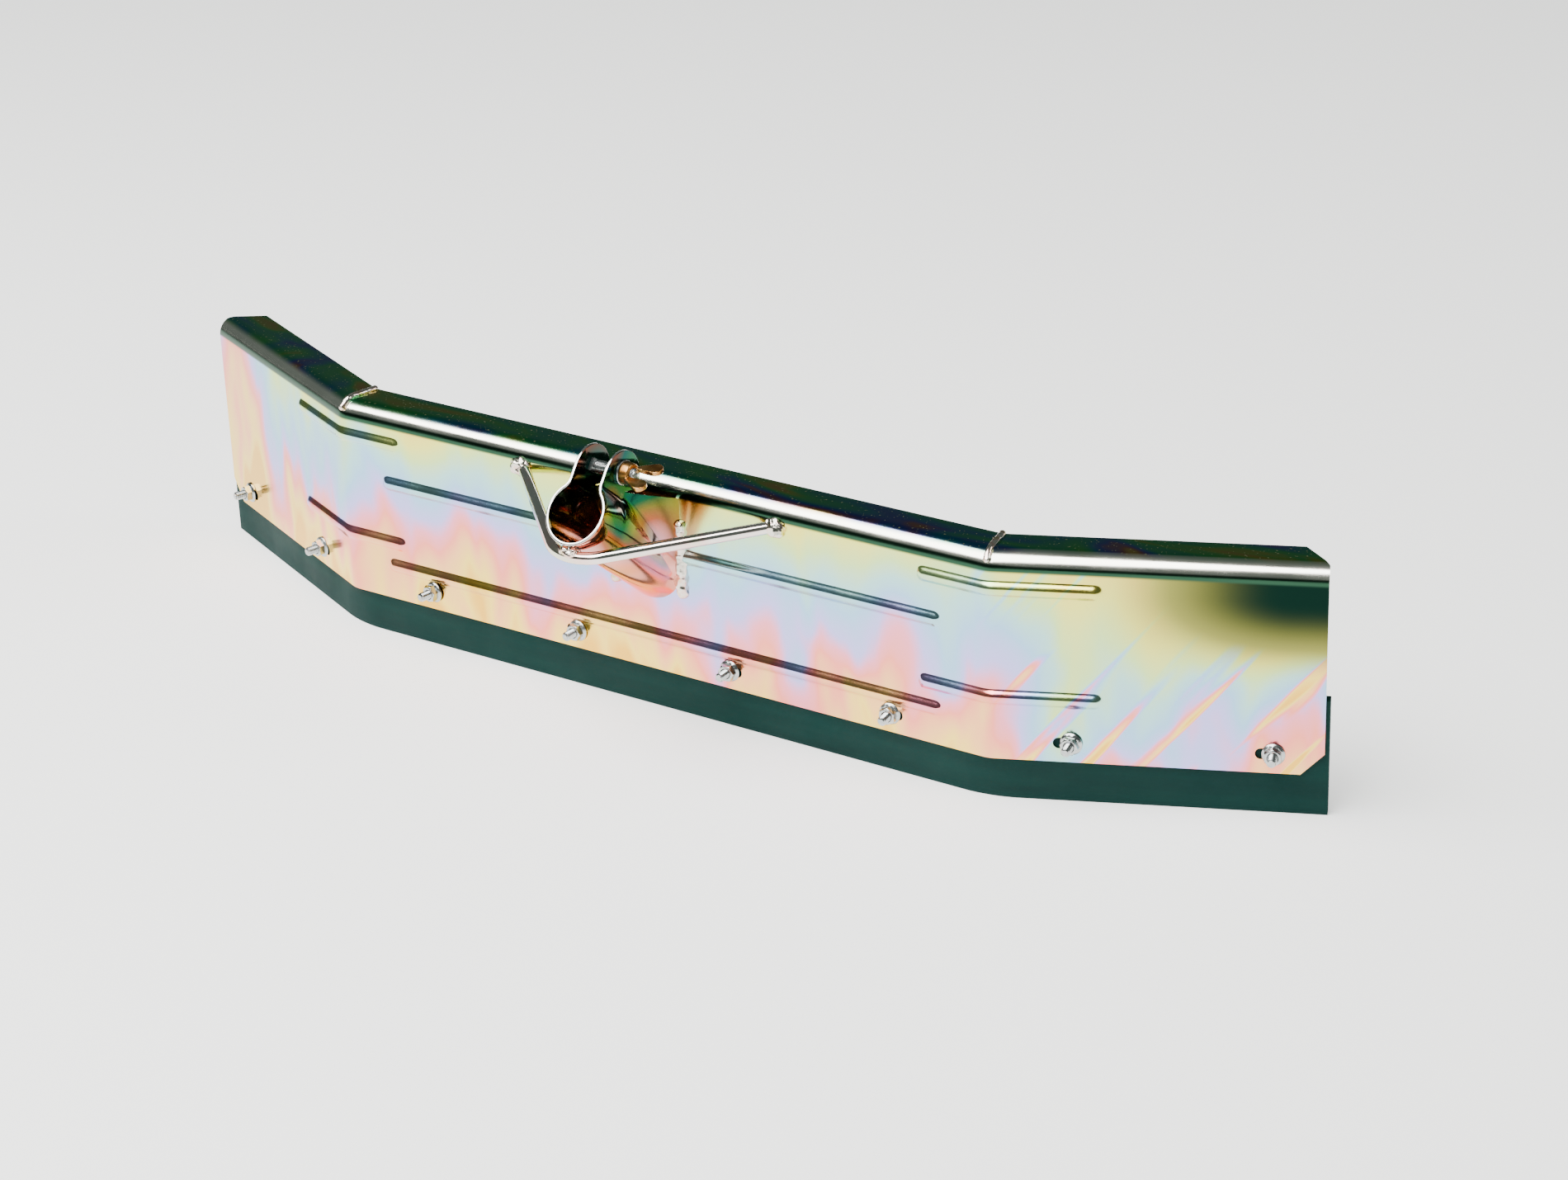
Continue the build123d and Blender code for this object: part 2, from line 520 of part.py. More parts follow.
def build():
    """Every piece of the scraper head, by node name."""
    nodes = {}
    ribs = rib_lines()
    nodes["blade"] = make_blade()
    nodes["rubber_lip"] = make_lip()
    for number, s in enumerate(LIP_BOLT_S, 1):
        nodes[f"lip_bolt_{number}"] = make_lip_bolt(s)
        nodes[f"lip_washer_{number}"] = make_lip_washer(s)
        nodes[f"lip_nut_{number}"] = make_lip_nut(s)
    nodes["pole_clamp"] = make_clamp(ribs)
    nodes["clamp_bolt"] = make_clamp_bolt()
    nodes["wing_nut_washer"] = make_wing_washer()
    nodes["wing_nut"] = make_wing_nut()
    nodes["brace_rod"] = make_brace()
    for side, word in ((-1, "left"), (1, "right")):
        nodes[f"flange_weld_{word}"] = make_seam_weld(side, nodes["blade"])
        nodes[f"clamp_weld_{word}"] = make_skirt_weld(side, nodes["blade"], nodes["pole_clamp"])
        nodes[f"brace_weld_{word}"] = make_rod_weld(side, nodes["brace_rod"])
    nodes["brace_weld_front"] = make_clamp_weld(nodes["pole_clamp"], nodes["brace_rod"])
    return nodes


if __name__ == "__main__":
    os.makedirs("parts", exist_ok=True)
    for name, shape in build().items():
        export_step(shape, f"parts/{name}.step")
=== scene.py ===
"""Looks of a yard scraper head for a pole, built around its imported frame."""
from math import acos, atan2, cos, hypot, pi, radians, sin, sqrt, tan

import bmesh
import bpy
import numpy as np
from bpy.props import FloatProperty, FloatVectorProperty, IntProperty, PointerProperty
from mathutils import Matrix, Vector, noise


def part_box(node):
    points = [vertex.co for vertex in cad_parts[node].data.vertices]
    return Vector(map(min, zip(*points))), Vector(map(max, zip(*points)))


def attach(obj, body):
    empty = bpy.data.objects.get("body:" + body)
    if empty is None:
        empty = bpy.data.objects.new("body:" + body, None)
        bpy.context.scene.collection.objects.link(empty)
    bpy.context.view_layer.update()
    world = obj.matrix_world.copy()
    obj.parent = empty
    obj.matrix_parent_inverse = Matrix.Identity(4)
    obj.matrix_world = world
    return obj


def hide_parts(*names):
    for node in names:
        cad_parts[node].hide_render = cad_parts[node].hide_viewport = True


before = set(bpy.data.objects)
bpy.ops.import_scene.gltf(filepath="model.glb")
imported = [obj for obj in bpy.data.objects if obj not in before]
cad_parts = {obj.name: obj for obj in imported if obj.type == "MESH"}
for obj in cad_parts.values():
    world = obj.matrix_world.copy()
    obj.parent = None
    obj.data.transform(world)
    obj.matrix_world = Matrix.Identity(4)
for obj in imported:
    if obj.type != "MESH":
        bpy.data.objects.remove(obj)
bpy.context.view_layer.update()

bl_info = {
    "name": "Yard Scraper Head",
    "version": (1, 0, 0),
    "blender": (4, 5, 0),
    "location": "View3D > Sidebar > Scraper",
    "description": "Builds the visible pieces of a pole-mounted yard scraper head",
    "category": "Object",
}

MM = 0.001
BODY = "scraper_frame"


def linear(hex_colour):
    """An sRGB hex colour as linear red, green, blue and full alpha."""
    parts = [int(hex_colour[i:i + 2], 16) / 255 for i in (1, 3, 5)]
    bent = [p / 12.92 if p <= 0.04045 else ((p + 0.055) / 1.055) ** 2.4 for p in parts]
    return (*bent, 1.0)


def centre(node):
    """Middle of a CAD node's box."""
    low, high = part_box(node)
    return (low + high) / 2


# ---- sizes and colours that a user would change ----

def length(name, description, default):
    """A size in metres."""
    return FloatProperty(name=name, description=description, default=default,
                         unit="LENGTH", subtype="DISTANCE", precision=5)


def angle(name, description, degrees):
    """An angle, given in degrees."""
    return FloatProperty(name=name, description=description, default=radians(degrees),
                         unit="ROTATION", subtype="ANGLE")


def colour(name, description, default):
    """A colour, given as sRGB hex."""
    return FloatVectorProperty(name=name, description=description, subtype="COLOR",
                               size=4, min=0, max=1, default=linear(default))


BLADE_LOW, BLADE_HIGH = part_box("blade")
LIP_LOW, LIP_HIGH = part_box("rubber_lip")
NEAR_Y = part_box("lip_nut_4")[1].y          # the blade's near face, on the centre facet
BOLT_LEVEL = centre("lip_nut_4").z
LONG_RIBS = (24 * MM, 83 * MM)             # heights over the blade's bottom edge
SHORT_RIBS = (40.5 * MM, 111 * MM)
LONG_RIB_END = 37 * MM                     # from the bend line, inwards
SHORT_RIB_ENDS = (-44 * MM, 64 * MM)       # from the bend line, inwards and along the wing
THREAD_PLAY = 0.05 * MM                    # between a bolt and the bores round it
SOFT_EDGE = 0.45 * MM                      # rounding of the clamp's sheared edges
SEAM_PROUD = 0.5 * MM                      # middle of a mitre weld over the sheet
WELD_DEPTH = 0.8 * MM                      # how far a weld reaches into the sheet


class BladeSizes(bpy.types.PropertyGroup):
    sheet: length("Sheet", "Thickness of the steel sheet", 2 * MM)
    centre_half: length("Half centre", "Middle to bend line, on the near face", 250 * MM)
    wing: length("Wing", "Bend line to end, on the near face", 200 * MM)
    wing_angle: angle("Wing angle", "Bend of each wing", 24)
    bend_r: length("Bend radius", "Near-face radius of the two bends", 20 * MM)
    fold_r: length("Fold radius", "Outer radius of the top fold", 12 * MM)
    flange: length("Flange depth", "Near face to the flange's far edge", 30 * MM)
    corner: length("Corner cut", "Cut off the bottom corners", 14 * MM)
    flange_cut_along: length("Flange cut length", "Corner cut of the flange, along it", 15 * MM)
    flange_cut_deep: length("Flange cut depth", "Corner cut of the flange, in depth", 23.5 * MM)
    rib_height: length("Rib height", "Height of the pressed ribs", 2.5 * MM)
    rib_half: length("Rib half width", "Half width of a pressed rib at its foot", 5.4 * MM)
    slot_width: length("Slot width", "Width of the bolt slots", 7 * MM)
    slot_length: length("Slot length", "Length of the bolt slots", 15 * MM)


class LipSizes(bpy.types.PropertyGroup):
    thickness: length("Thickness", "Thickness of the rubber", 8 * MM)
    bend_r: length("Bend radius", "Curve of the rubber at the bends, on its near face", 90 * MM)
    overhang: length("Overhang", "Rubber past each end of the steel", 2.5 * MM)
    edge: length("Edge round", "Rounding of the rubber's edges", 0.7 * MM)
    tint: colour("Rubber", "Colour of the rubber", "#0A332E")


class FastenerSizes(bpy.types.PropertyGroup):
    count: IntProperty(name="Count", description="Bolts along the lip", default=8, min=2)
    margin: length("Margin", "Outer bolts to the ends of the steel", 30 * MM)
    thread: length("Thread", "Diameter of the bolts", 6 * MM)
    pitch: length("Pitch", "Thread pitch", 1 * MM)
    across: length("Across flats", "Width of nuts and heads", 10 * MM)
    nut: length("Nut", "Height of the flange nuts", 6 * MM)
    flange: length("Nut flange", "Diameter of the nut's flange", 14.2 * MM)
    washer: length("Washer", "Diameter of the washers", 18 * MM)
    tint: colour("Zinc", "Colour of the bright zinc plating", "#C6C9C7")
    seed: IntProperty(name="Seed", description="How the nuts happened to stop turning", default=4)


class ClampSizes(bpy.types.PropertyGroup):
    sheet: length("Sheet", "Thickness of the clamp's sheet", 2 * MM)
    bore: length("Bore radius", "Radius of the pole bore", 19 * MM)
    tilt: angle("Tilt", "How steeply the pole rises", 37)
    reach: length("Reach", "Blade to front rim, along the bore", 88 * MM)
    foot_height: length("Foot height", "Where the bore's axis meets the blade", 106.5 * MM)
    straight: length("Straight", "Straight bore behind the rim", 24 * MM)
    ear_gap: length("Ear gap", "Between the ears' inner faces", 21 * MM)
    neck_r: length("Neck radius", "Outer radius where bore turns to ear", 8 * MM)
    neck_rise: length("Neck rise", "Straight wall above the neck", 3.5 * MM)
    ear_r: length("Ear radius", "Round top of the ears", 18 * MM)
    ear_rise: length("Ear rise", "Centre of the ears' top above the neck's top", 6 * MM)
    flare: length("Flare", "How much wider the skirt is at the blade", 5 * MM)
    skirt_low: length("Skirt centre", "Centre of the skirt's round bottom", 102.5 * MM)
    skirt_top: length("Skirt top", "Top of the skirt at the blade", 149 * MM)


class RodSizes(bpy.types.PropertyGroup):
    diameter: length("Diameter", "Diameter of the brace rod", 8 * MM)
    bend_r: length("Bend radius", "Bend of the rod under the clamp", 30 * MM)
    back: length("Setback", "Where the rod passes under the clamp, behind the rim", 10 * MM)
    gap: length("Seat gap", "Gap that the weld under the clamp bridges", 0.3 * MM)


class NutSizes(bpy.types.PropertyGroup):
    thread: length("Thread", "Diameter of the clamp bolt", 8 * MM)
    pitch: length("Pitch", "Thread pitch", 1.25 * MM)
    hub_base: length("Hub base", "Diameter of the hub at its base", 15 * MM)
    hub_top: length("Hub top", "Diameter of the hub at its top", 13.6 * MM)
    hub: length("Hub height", "Height of the hub", 6 * MM)
    wing: length("Wing thickness", "Thickness of the wings", 3 * MM)
    tip_r: length("Tip radius", "Round tip of a wing", 4.8 * MM)
    tip_out: length("Tip out", "Centre of the tip from the bolt", 9 * MM)
    tip_up: length("Tip up", "Centre of the tip above the hub's base", 17 * MM)
    clock: angle("Clock", "Wings at rest, turned back from straight up", 40)


class StageSizes(bpy.types.PropertyGroup):
    azimuth: angle("Azimuth", "Camera angle round the head", 35.655)
    elevation: angle("Elevation", "Camera angle above level", 23.808)
    roll: angle("Roll", "Camera roll", -2.12)
    distance: length("Distance", "Camera to the point it looks at", 2.27934)
    target: FloatVectorProperty(name="Target", description="Point the camera looks at",
                                subtype="XYZ", unit="LENGTH", default=(0.10382, -0.006, 0.10448))
    lens: FloatProperty(name="Lens", description="Focal length on a 36 mm frame, in mm",
                        default=85.38)
    floor: colour("Floor", "Colour of the floor", "#F4F4F2")


# ---- small helpers ----

def add(tree, kind, inputs=None, stops=None, **settings):
    """Adds a node. settings are its properties, stops its colour ramp, and inputs its sockets'
    values, sRGB hex colours or links."""
    made = tree.nodes.new(kind)
    for key, value in settings.items():
        setattr(made, key, value)
    for key, value in (inputs or {}).items():
        socket = made.inputs[key]
        if isinstance(value, bpy.types.NodeSocket):
            tree.links.new(value, socket)
        else:
            is_hex = isinstance(value, str) and value.startswith("#")
            socket.default_value = linear(value) if is_hex else value
    if stops:
        ramp = made.color_ramp
        while len(ramp.elements) > 1:
            ramp.elements.remove(ramp.elements[-1])
        for i, (place, tone) in enumerate(stops):
            stop = ramp.elements[0] if i == 0 else ramp.elements.new(place)
            stop.position = place
            stop.color = linear(tone)
    return made


def mesh_object(name, points, faces, smooth=True):
    """A mesh object from points in metres; its normals point outwards."""
    mesh = bpy.data.meshes.new(name)
    mesh.from_pydata([tuple(p) for p in points], [], [tuple(int(i) for i in f) for f in faces])
    shape = bmesh.new()
    shape.from_mesh(mesh)
    bmesh.ops.remove_doubles(shape, verts=shape.verts, dist=0.002 * MM)
    bmesh.ops.dissolve_degenerate(shape, edges=shape.edges, dist=0.002 * MM)
    bmesh.ops.recalc_face_normals(shape, faces=shape.faces)
    shape.to_mesh(mesh)
    shape.free()
    made = bpy.data.objects.new(name, mesh)
    bpy.context.scene.collection.objects.link(made)
    if smooth:
        mesh.shade_smooth()
    return made


def apply_modifiers(piece):
    """Makes the piece's evaluated shape its own plain mesh."""
    bpy.context.view_layer.update()
    held = piece.evaluated_get(bpy.context.evaluated_depsgraph_get())
    mesh = bpy.data.meshes.new_from_object(held)
    mesh.name = piece.name
    piece.modifiers.clear()
    piece.data = mesh
    return piece


def soften(piece, limit=35.0):
    """Smooth shading that keeps the corners sharper than the limit, in degrees."""
    piece.data.shade_smooth()
    piece.data.set_sharp_from_angle(angle=radians(limit))
    return piece


def grid_faces(rows, columns, offset=0, closed=False):
    """Quads between rows of points; closed joins the last column to the first."""
    faces = []
    for r in range(rows - 1):
        for c in range(columns if closed else columns - 1):
            d = (c + 1) % columns
            a = offset + r * columns
            faces.append((a + c, a + d, a + columns + d, a + columns + c))
    return faces


def finish_piece(piece, material, slot, *nodes, body=BODY):
    """Gives a piece its material and its body, and hides the CAD nodes it stands for. slot is not
    used.
    """
    piece.data.materials.clear()
    piece.data.materials.append(material)
    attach(piece, body)
    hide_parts(*nodes)
    return piece


# ---- materials ----

def start_material(name):
    """A material with a Principled shader: the material, its tree, the shader and the place."""
    material = bpy.data.materials.new(name)
    material.use_nodes = True
    tree = material.node_tree
    tree.nodes.clear()
    shader = add(tree, "ShaderNodeBsdfPrincipled")
    add(tree, "ShaderNodeOutputMaterial", {"Surface": shader.outputs[0]})
    return material, tree, shader, add(tree, "ShaderNodeTexCoord").outputs["Object"]


def wear(tree, shader, place, tone, grain, relief, roughness):
    """The tone, with fine pits and handling marks: roughness between two values, and a shallow
    bump."""
    tree.links.new(tone, shader.inputs["Base Color"])
    pits = add(tree, "ShaderNodeTexNoise", {"Vector": place, "Scale": 1 / grain, "Detail": 3.0})
    haze = add(tree, "ShaderNodeTexNoise", {"Vector": place, "Scale": 1 / (40 * MM),
                                            "Detail": 4.0})
    rough = add(tree, "ShaderNodeMapRange", {"Value": haze.outputs[0], "From Min": 0.3,
                                             "From Max": 0.7, "To Min": roughness[0],
                                             "To Max": roughness[1]})
    bump = add(tree, "ShaderNodeBump", {"Height": pits.outputs[0], "Strength": relief,
                                        "Distance": 0.2 * MM})
    tree.links.new(rough.outputs[0], shader.inputs["Roughness"])
    tree.links.new(bump.outputs[0], shader.inputs["Normal"])


EDGE_HIGHLIGHT = "#F3F1EA"      # pale tone of a sheared edge: a painted highlight
FACE_TONES = [(0.00, "#F4BE4C"), (0.10, "#FFDA6C"), (0.20, "#FFC080"), (0.30, "#FF9484"),
              (0.38, "#F898AE"), (0.47, "#B8B2EC"), (0.58, "#98C2E2"), (0.68, "#A4D4CE"),
              (0.78, "#C4E092"), (0.88, "#E6E26E"), (1.00, "#F2CC62")]
TOP_TONES = [(0.00, "#A8743C"), (0.16, "#86962E"), (0.32, "#2E9A4C"), (0.50, "#16866A"),
             (0.64, "#1C6E88"), (0.78, "#3C4490"), (0.90, "#8A5448"), (1.00, "#AE983C")]
BRONZE_TONES = [(0.00, "#E28A46"), (0.14, "#EE9476"), (0.26, "#DE9C94"), (0.38, "#A05A34"),
                (0.50, "#7E702A"), (0.64, "#1E5A34"), (0.76, "#124A44"), (0.86, "#6A3424"),
                (0.94, "#8A5A2A"), (1.00, "#2E5A3A")]
NUT_TONES = [(0.00, "#6E4420"), (0.30, "#A8743A"), (0.55, "#C7965C"), (0.75, "#9A7A3A"),
             (1.00, "#5E5A2C")]
ROD_TONES = [(0.00, "#E2DFD6"), (0.35, "#EEE2DA"), (0.60, "#EED2C8"), (0.80, "#DCE0C6"),
             (1.00, "#CBD8DA")]


def sums(tree, start, *terms):
    """Adds (value, factor) terms to a start value."""
    total = start
    for value, factor in terms:
        total = add(tree, "ShaderNodeMath", {0: value, 1: factor, 2: total},
                    operation="MULTIPLY_ADD").outputs[0]
    return total


def stretched_noise(tree, place, cell, turn=0.0, **settings):
    """Noise whose cells have a real size along each axis, turned about Y."""
    mapped = add(tree, "ShaderNodeMapping", {"Vector": place, "Rotation": (0.0, turn, 0.0)})
    scaled = add(tree, "ShaderNodeVectorMath",
                 {0: mapped.outputs[0], 1: tuple(1 / c for c in cell)}, operation="MULTIPLY")
    inputs = {"Vector": scaled.outputs[0], "Scale": 1.0, **settings}
    return add(tree, "ShaderNodeTexNoise", inputs).outputs[0]


def make_chromate_sheet():
    """Zinc-plated sheet, yellow chromated: a mirror-like metal under a film a few hundred
    nanometres thick. The film is thinnest where the bath ran off, so gold and pink flames stand
    on the bottom edge, blue-grey and pale green lie above, and the flange is dark green."""
    material, tree, shader, place = start_material("yellow_chromated_zinc_sheet")
    parts = add(tree, "ShaderNodeSeparateXYZ", {"Vector": place})
    x, z = parts.outputs[0], parts.outputs[2]
    rise = add(tree, "ShaderNodeMapRange", {"Value": z, "From Min": 27 * MM, "From Max": 150 * MM,
                                            "To Min": 0.16, "To Max": 0.86}).outputs[0]
    flames = stretched_noise(tree, place, (34 * MM, 34 * MM, 95 * MM), Detail=1.6, Roughness=0.45,
                             Distortion=0.35)
    broad = stretched_noise(tree, place, (190 * MM, 190 * MM, 160 * MM), Detail=1.0)
    wisps = stretched_noise(tree, place, (12 * MM, 600 * MM, 190 * MM), -0.66, Detail=1.0,
                            Distortion=0.2)
    patches = stretched_noise(tree, place, (95 * MM, 40 * MM, 60 * MM), Detail=2.5, Distortion=0.8)
    specks = stretched_noise(tree, place, (1.7 * MM, 1.7 * MM, 1.7 * MM), Detail=1.0)
    zones = []
    for value, start, end in (
            (x, 235 * MM, 275 * MM),        # right wing
            (x, -366 * MM, -404 * MM),      # far end of the left wing
            (x, -215 * MM, -265 * MM),      # left wing
            (x, 285 * MM, 415 * MM),        # towards the right end
            (z, 78 * MM, 140 * MM),         # towards the fold
            (z, 147.8 * MM, 149.8 * MM),    # foot of the fold: a dark band painted in as a reflection
            (z, 160.5 * MM, 160.9 * MM),    # past the fold
            (wisps, 0.56, 0.70),
            (specks, 0.68, 0.74)):
        zones.append(add(tree, "ShaderNodeMapRange", {"Value": value, "From Min": start,
                                                      "From Max": end},
                         interpolation_type="SMOOTHSTEP").outputs[0])
    right_wing, left_end, left_wing, right_end, high, fold_foot_painted_shade, past_fold, wisp, speck = zones
    reach = add(tree, "ShaderNodeMapRange", {"Value": z, "From Min": 35 * MM, "From Max": 125 * MM,
                                             "To Min": 1.0, "To Max": 0.3}).outputs[0]
    reach = sums(tree, reach, (left_wing, 0.45))
    flame = sums(tree, 0.0, (sums(tree, -0.5, (flames, 1.0)), reach))
    streak = sums(tree, 0.0, (right_wing, wisp))
    film = sums(tree, -0.33, (rise, 1.0), (flame, 1.15), (broad, 0.65), (streak, -0.5),
                (right_wing, 0.10), (left_end, -0.40), (left_wing, -0.08))
    face = add(tree, "ShaderNodeValToRGB", {"Fac": film}, stops=FACE_TONES).outputs[0]
    spread = add(tree, "ShaderNodeMapRange", {"Value": patches, "From Min": 0.28,
                                              "From Max": 0.72})
    dark = add(tree, "ShaderNodeValToRGB", {"Fac": spread.outputs[0]}, stops=TOP_TONES).outputs[0]
    # painted reflection: the upper right end of the face is tinted olive, darkening to near-black
    # teal, standing in for the dark surroundings it mirrors
    painted_dark_reflection = sums(tree, 0.0, (right_end, high))
    bands = []
    for value, start, end in (
            (painted_dark_reflection, 0.1, 1.0),
            (painted_dark_reflection, 0.0, 0.5),
            (sums(tree, z, (right_wing, MM)), 153.2 * MM, 154.6 * MM),          # round the fold: a pale tone painted in so the highlight reads white
            (sums(tree, z, (right_wing, -1.6 * MM)), 157.2 * MM, 160.3 * MM)):  # flange
        bands.append(add(tree, "ShaderNodeMapRange", {"Value": value, "From Min": start,
                                                      "From Max": end},
                         interpolation_type="SMOOTHSTEP").outputs[0])
    deepest_painted_reflection, painted_reflection_share, fold, flange = bands
    flange = add(tree, "ShaderNodeMix", {"Factor": past_fold, "A": flange, "B": 1.0})
    flange = flange.outputs["Result"]
    shade = add(tree, "ShaderNodeMix", {"Factor": deepest_painted_reflection, "A": "#A2A04E", "B": "#0B211A"},
                data_type="RGBA").outputs["Result"]
    # a pale painted highlight on the sheet's cut edges
    edge_glint = add(tree, "ShaderNodeAttribute", attribute_name="cut_edge").outputs["Fac"]
    dust = sums(tree, 0.0, (speck, flange))
    # over the film, in turn: the painted dark reflection on the right end, a painted dark band at
    # the fold's foot, a pale painted highlight round the fold, the flange's film, dust specks, and
    # a painted highlight on the cut edges
    shown = face
    for share, tone in ((painted_reflection_share, shade), (fold_foot_painted_shade, "#2C4A38"), (fold, "#F3F1E2"),
                        (flange, dark), (dust, "#E8E6B4"), (edge_glint, EDGE_HIGHLIGHT)):
        shown = add(tree, "ShaderNodeMix", {"Factor": share, "A": shown, "B": tone},
                    data_type="RGBA").outputs["Result"]
    shader.inputs["Metallic"].default_value = 1.0
    wear(tree, shader, place, shown, 1.2 * MM, 0.05, (0.10, 0.20))
    return material


def make_bronze_film(name, tones, size, roughness, levels=None):
    """Chromated steel that was plated as a small part: the same film, thicker and darker. levels
    are the heights over which the tone runs darker and greener upwards; a piece with levels gets a
    pale painted highlight on its cut edges."""
    material, tree, shader, place = start_material(name)
    film = stretched_noise(tree, place, (size, size, size), Detail=0.6, Distortion=0.4)
    spread = add(tree, "ShaderNodeMapRange", {"Value": film, "From Min": 0.27,
                                              "From Max": 0.73}).outputs[0]
    if levels:
        # the tone runs from orange and pink low down to dark green and brown towards the top
        height = add(tree, "ShaderNodeSeparateXYZ", {"Vector": place}).outputs[2]
        rise = add(tree, "ShaderNodeMapRange", {"Value": height, "From Min": levels[0],
                                                "From Max": levels[1]}).outputs[0]
        spread = sums(tree, -0.14, (rise, 0.72), (spread, 0.5))
    tone = add(tree, "ShaderNodeValToRGB", {"Fac": spread}, stops=tones).outputs[0]
    if levels:
        # a pale painted highlight on the cut edges
        edge_glint = add(tree, "ShaderNodeAttribute", attribute_name="cut_edge").outputs["Fac"]
        tone = add(tree, "ShaderNodeMix", {"Factor": edge_glint, "A": tone, "B": EDGE_HIGHLIGHT},
                   data_type="RGBA").outputs["Result"]
    shader.inputs["Metallic"].default_value = 1.0
    wear(tree, shader, place, tone, 0.8 * MM, 0.03, roughness)
    return material


def make_zinc(name, tint, roughness=(0.16, 0.34)):
    """Bright zinc plating: a pale, slightly blue metal with a faint grey haze."""
    material, tree, shader, place = start_material(name)
    haze = add(tree, "ShaderNodeTexNoise", {"Vector": place, "Scale": 1 / (2.5 * MM),
                                            "Detail": 2.0})
    tone = add(tree, "ShaderNodeMix", {"Factor": haze.outputs[0], "A": tuple(tint),
                                       "B": "#9EA3A2"}, data_type="RGBA")
    shader.inputs["Metallic"].default_value = 1.0
    wear(tree, shader, place, tone.outputs["Result"], 0.5 * MM, 0.08, roughness)
    return material


def make_weld_metal():
    """Mild-steel weld under the same plating: silver, with pink and straw where it ran hot."""
    material, tree, shader, place = start_material("plated_weld_bead")
    heat = add(tree, "ShaderNodeTexNoise", {"Vector": place, "Scale": 1 / (6.25 * MM),
                                            "Detail": 2.0})
    tone = add(tree, "ShaderNodeValToRGB", {"Fac": heat.outputs[0]},
               stops=[(0.32, "#B9B4A6"), (0.46, "#E6DFD2"), (0.56, "#EBC9BE"), (0.68, "#CDBE8C")])
    shader.inputs["Metallic"].default_value = 1.0
    wear(tree, shader, place, tone.outputs[0], 1.4 * MM, 0.35, (0.08, 0.2))
    return material


def make_rubber(tint):
    """Moulded black rubber: matt, almost black with a cold green cast, a fine calender grain."""
    material, tree, shader, place = start_material("moulded_black_rubber")
    # cells a metre: about 83 mm along the lip and 11 mm up it
    along = add(tree, "ShaderNodeMapping", {"Vector": place, "Scale": (12.0, 12.0, 90.0)})
    bloom = add(tree, "ShaderNodeTexNoise", {"Vector": along.outputs[0], "Scale": 1.0,
                                             "Detail": 5.0})
    tone = add(tree, "ShaderNodeMix", {"Factor": bloom.outputs[0], "A": tuple(tint),
                                       "B": "#052220"}, data_type="RGBA")
    shader.inputs["Specular IOR Level"].default_value = 0.1
    wear(tree, shader, place, tone.outputs["Result"], 0.9 * MM, 0.35, (0.55, 0.72))
    return material


# ---- blade ----

def plan(sizes, u, depth):
    """Place in plan of the point at u along the bent sheet and at a depth behind its near face."""
    side, run = np.sign(u), np.abs(u)
    turn, half = sizes.wing_angle, tan(sizes.wing_angle / 2)
    tangent = sizes.bend_r * half
    past = run - sizes.centre_half
    mitre = np.maximum(depth, sizes.bend_r) * half
    flat_x = np.minimum(run, sizes.centre_half - mitre)
    flat_y = depth
    along = np.maximum(past, mitre)
    wing_x = sizes.centre_half + along * cos(turn) - depth * sin(turn)
    wing_y = along * sin(turn) + depth * cos(turn)
    bent = np.clip((past + tangent) / (2 * tangent), 0, 1) * turn
    radius = np.maximum(sizes.bend_r - depth, 0)
    arc_x = sizes.centre_half - mitre + radius * np.sin(bent)
    arc_y = np.maximum(depth, sizes.bend_r) - radius * np.cos(bent)
    on_arc, on_wing = np.abs(past) < tangent, past >= tangent
    x = np.where(on_wing, wing_x, np.where(on_arc, arc_x, flat_x))
    y = np.where(on_wing, wing_y, np.where(on_arc, arc_y, flat_y))
    return side * x, NEAR_Y + y


def rib_relief(sizes, u, rise):
    """Height of the pressed ribs over the near face."""
    long_end = sizes.centre_half - LONG_RIB_END
    ribs = [(-long_end, long_end, level) for level in LONG_RIBS]
    for side in (-1, 1):
        ends = sorted(side * (sizes.centre_half + end) for end in SHORT_RIB_ENDS)
        ribs += [(*ends, level) for level in SHORT_RIBS]
    relief = np.zeros(np.broadcast(u, rise).shape)
    for start, end, level in ribs:
        along = u - np.clip(u, start, end)
        far = np.hypot(along, rise - level)
        relief = np.maximum(relief, np.maximum(1 - (far / sizes.rib_half) ** 2, 0) ** 1.5)
    return relief * sizes.rib_height


def lines_between(low, high, step, near=(), reach=0.0, fine=1.0):
    """Grid lines from low to high: step apart, and closer within reach of the given places."""
    lines = list(np.linspace(low, high, int(round((high - low) / step)) + 1))
    for place in near:
        lines = [v for v in lines if abs(v - place) > reach]
        lines += list(np.linspace(place - reach, place + reach, int(round(2 * reach / fine)) + 1))
    kept = []
    for value in sorted(v for v in lines if low <= v <= high):
        if not kept or value - kept[-1] > fine * 0.4:
            kept.append(value)
    return np.array(kept)


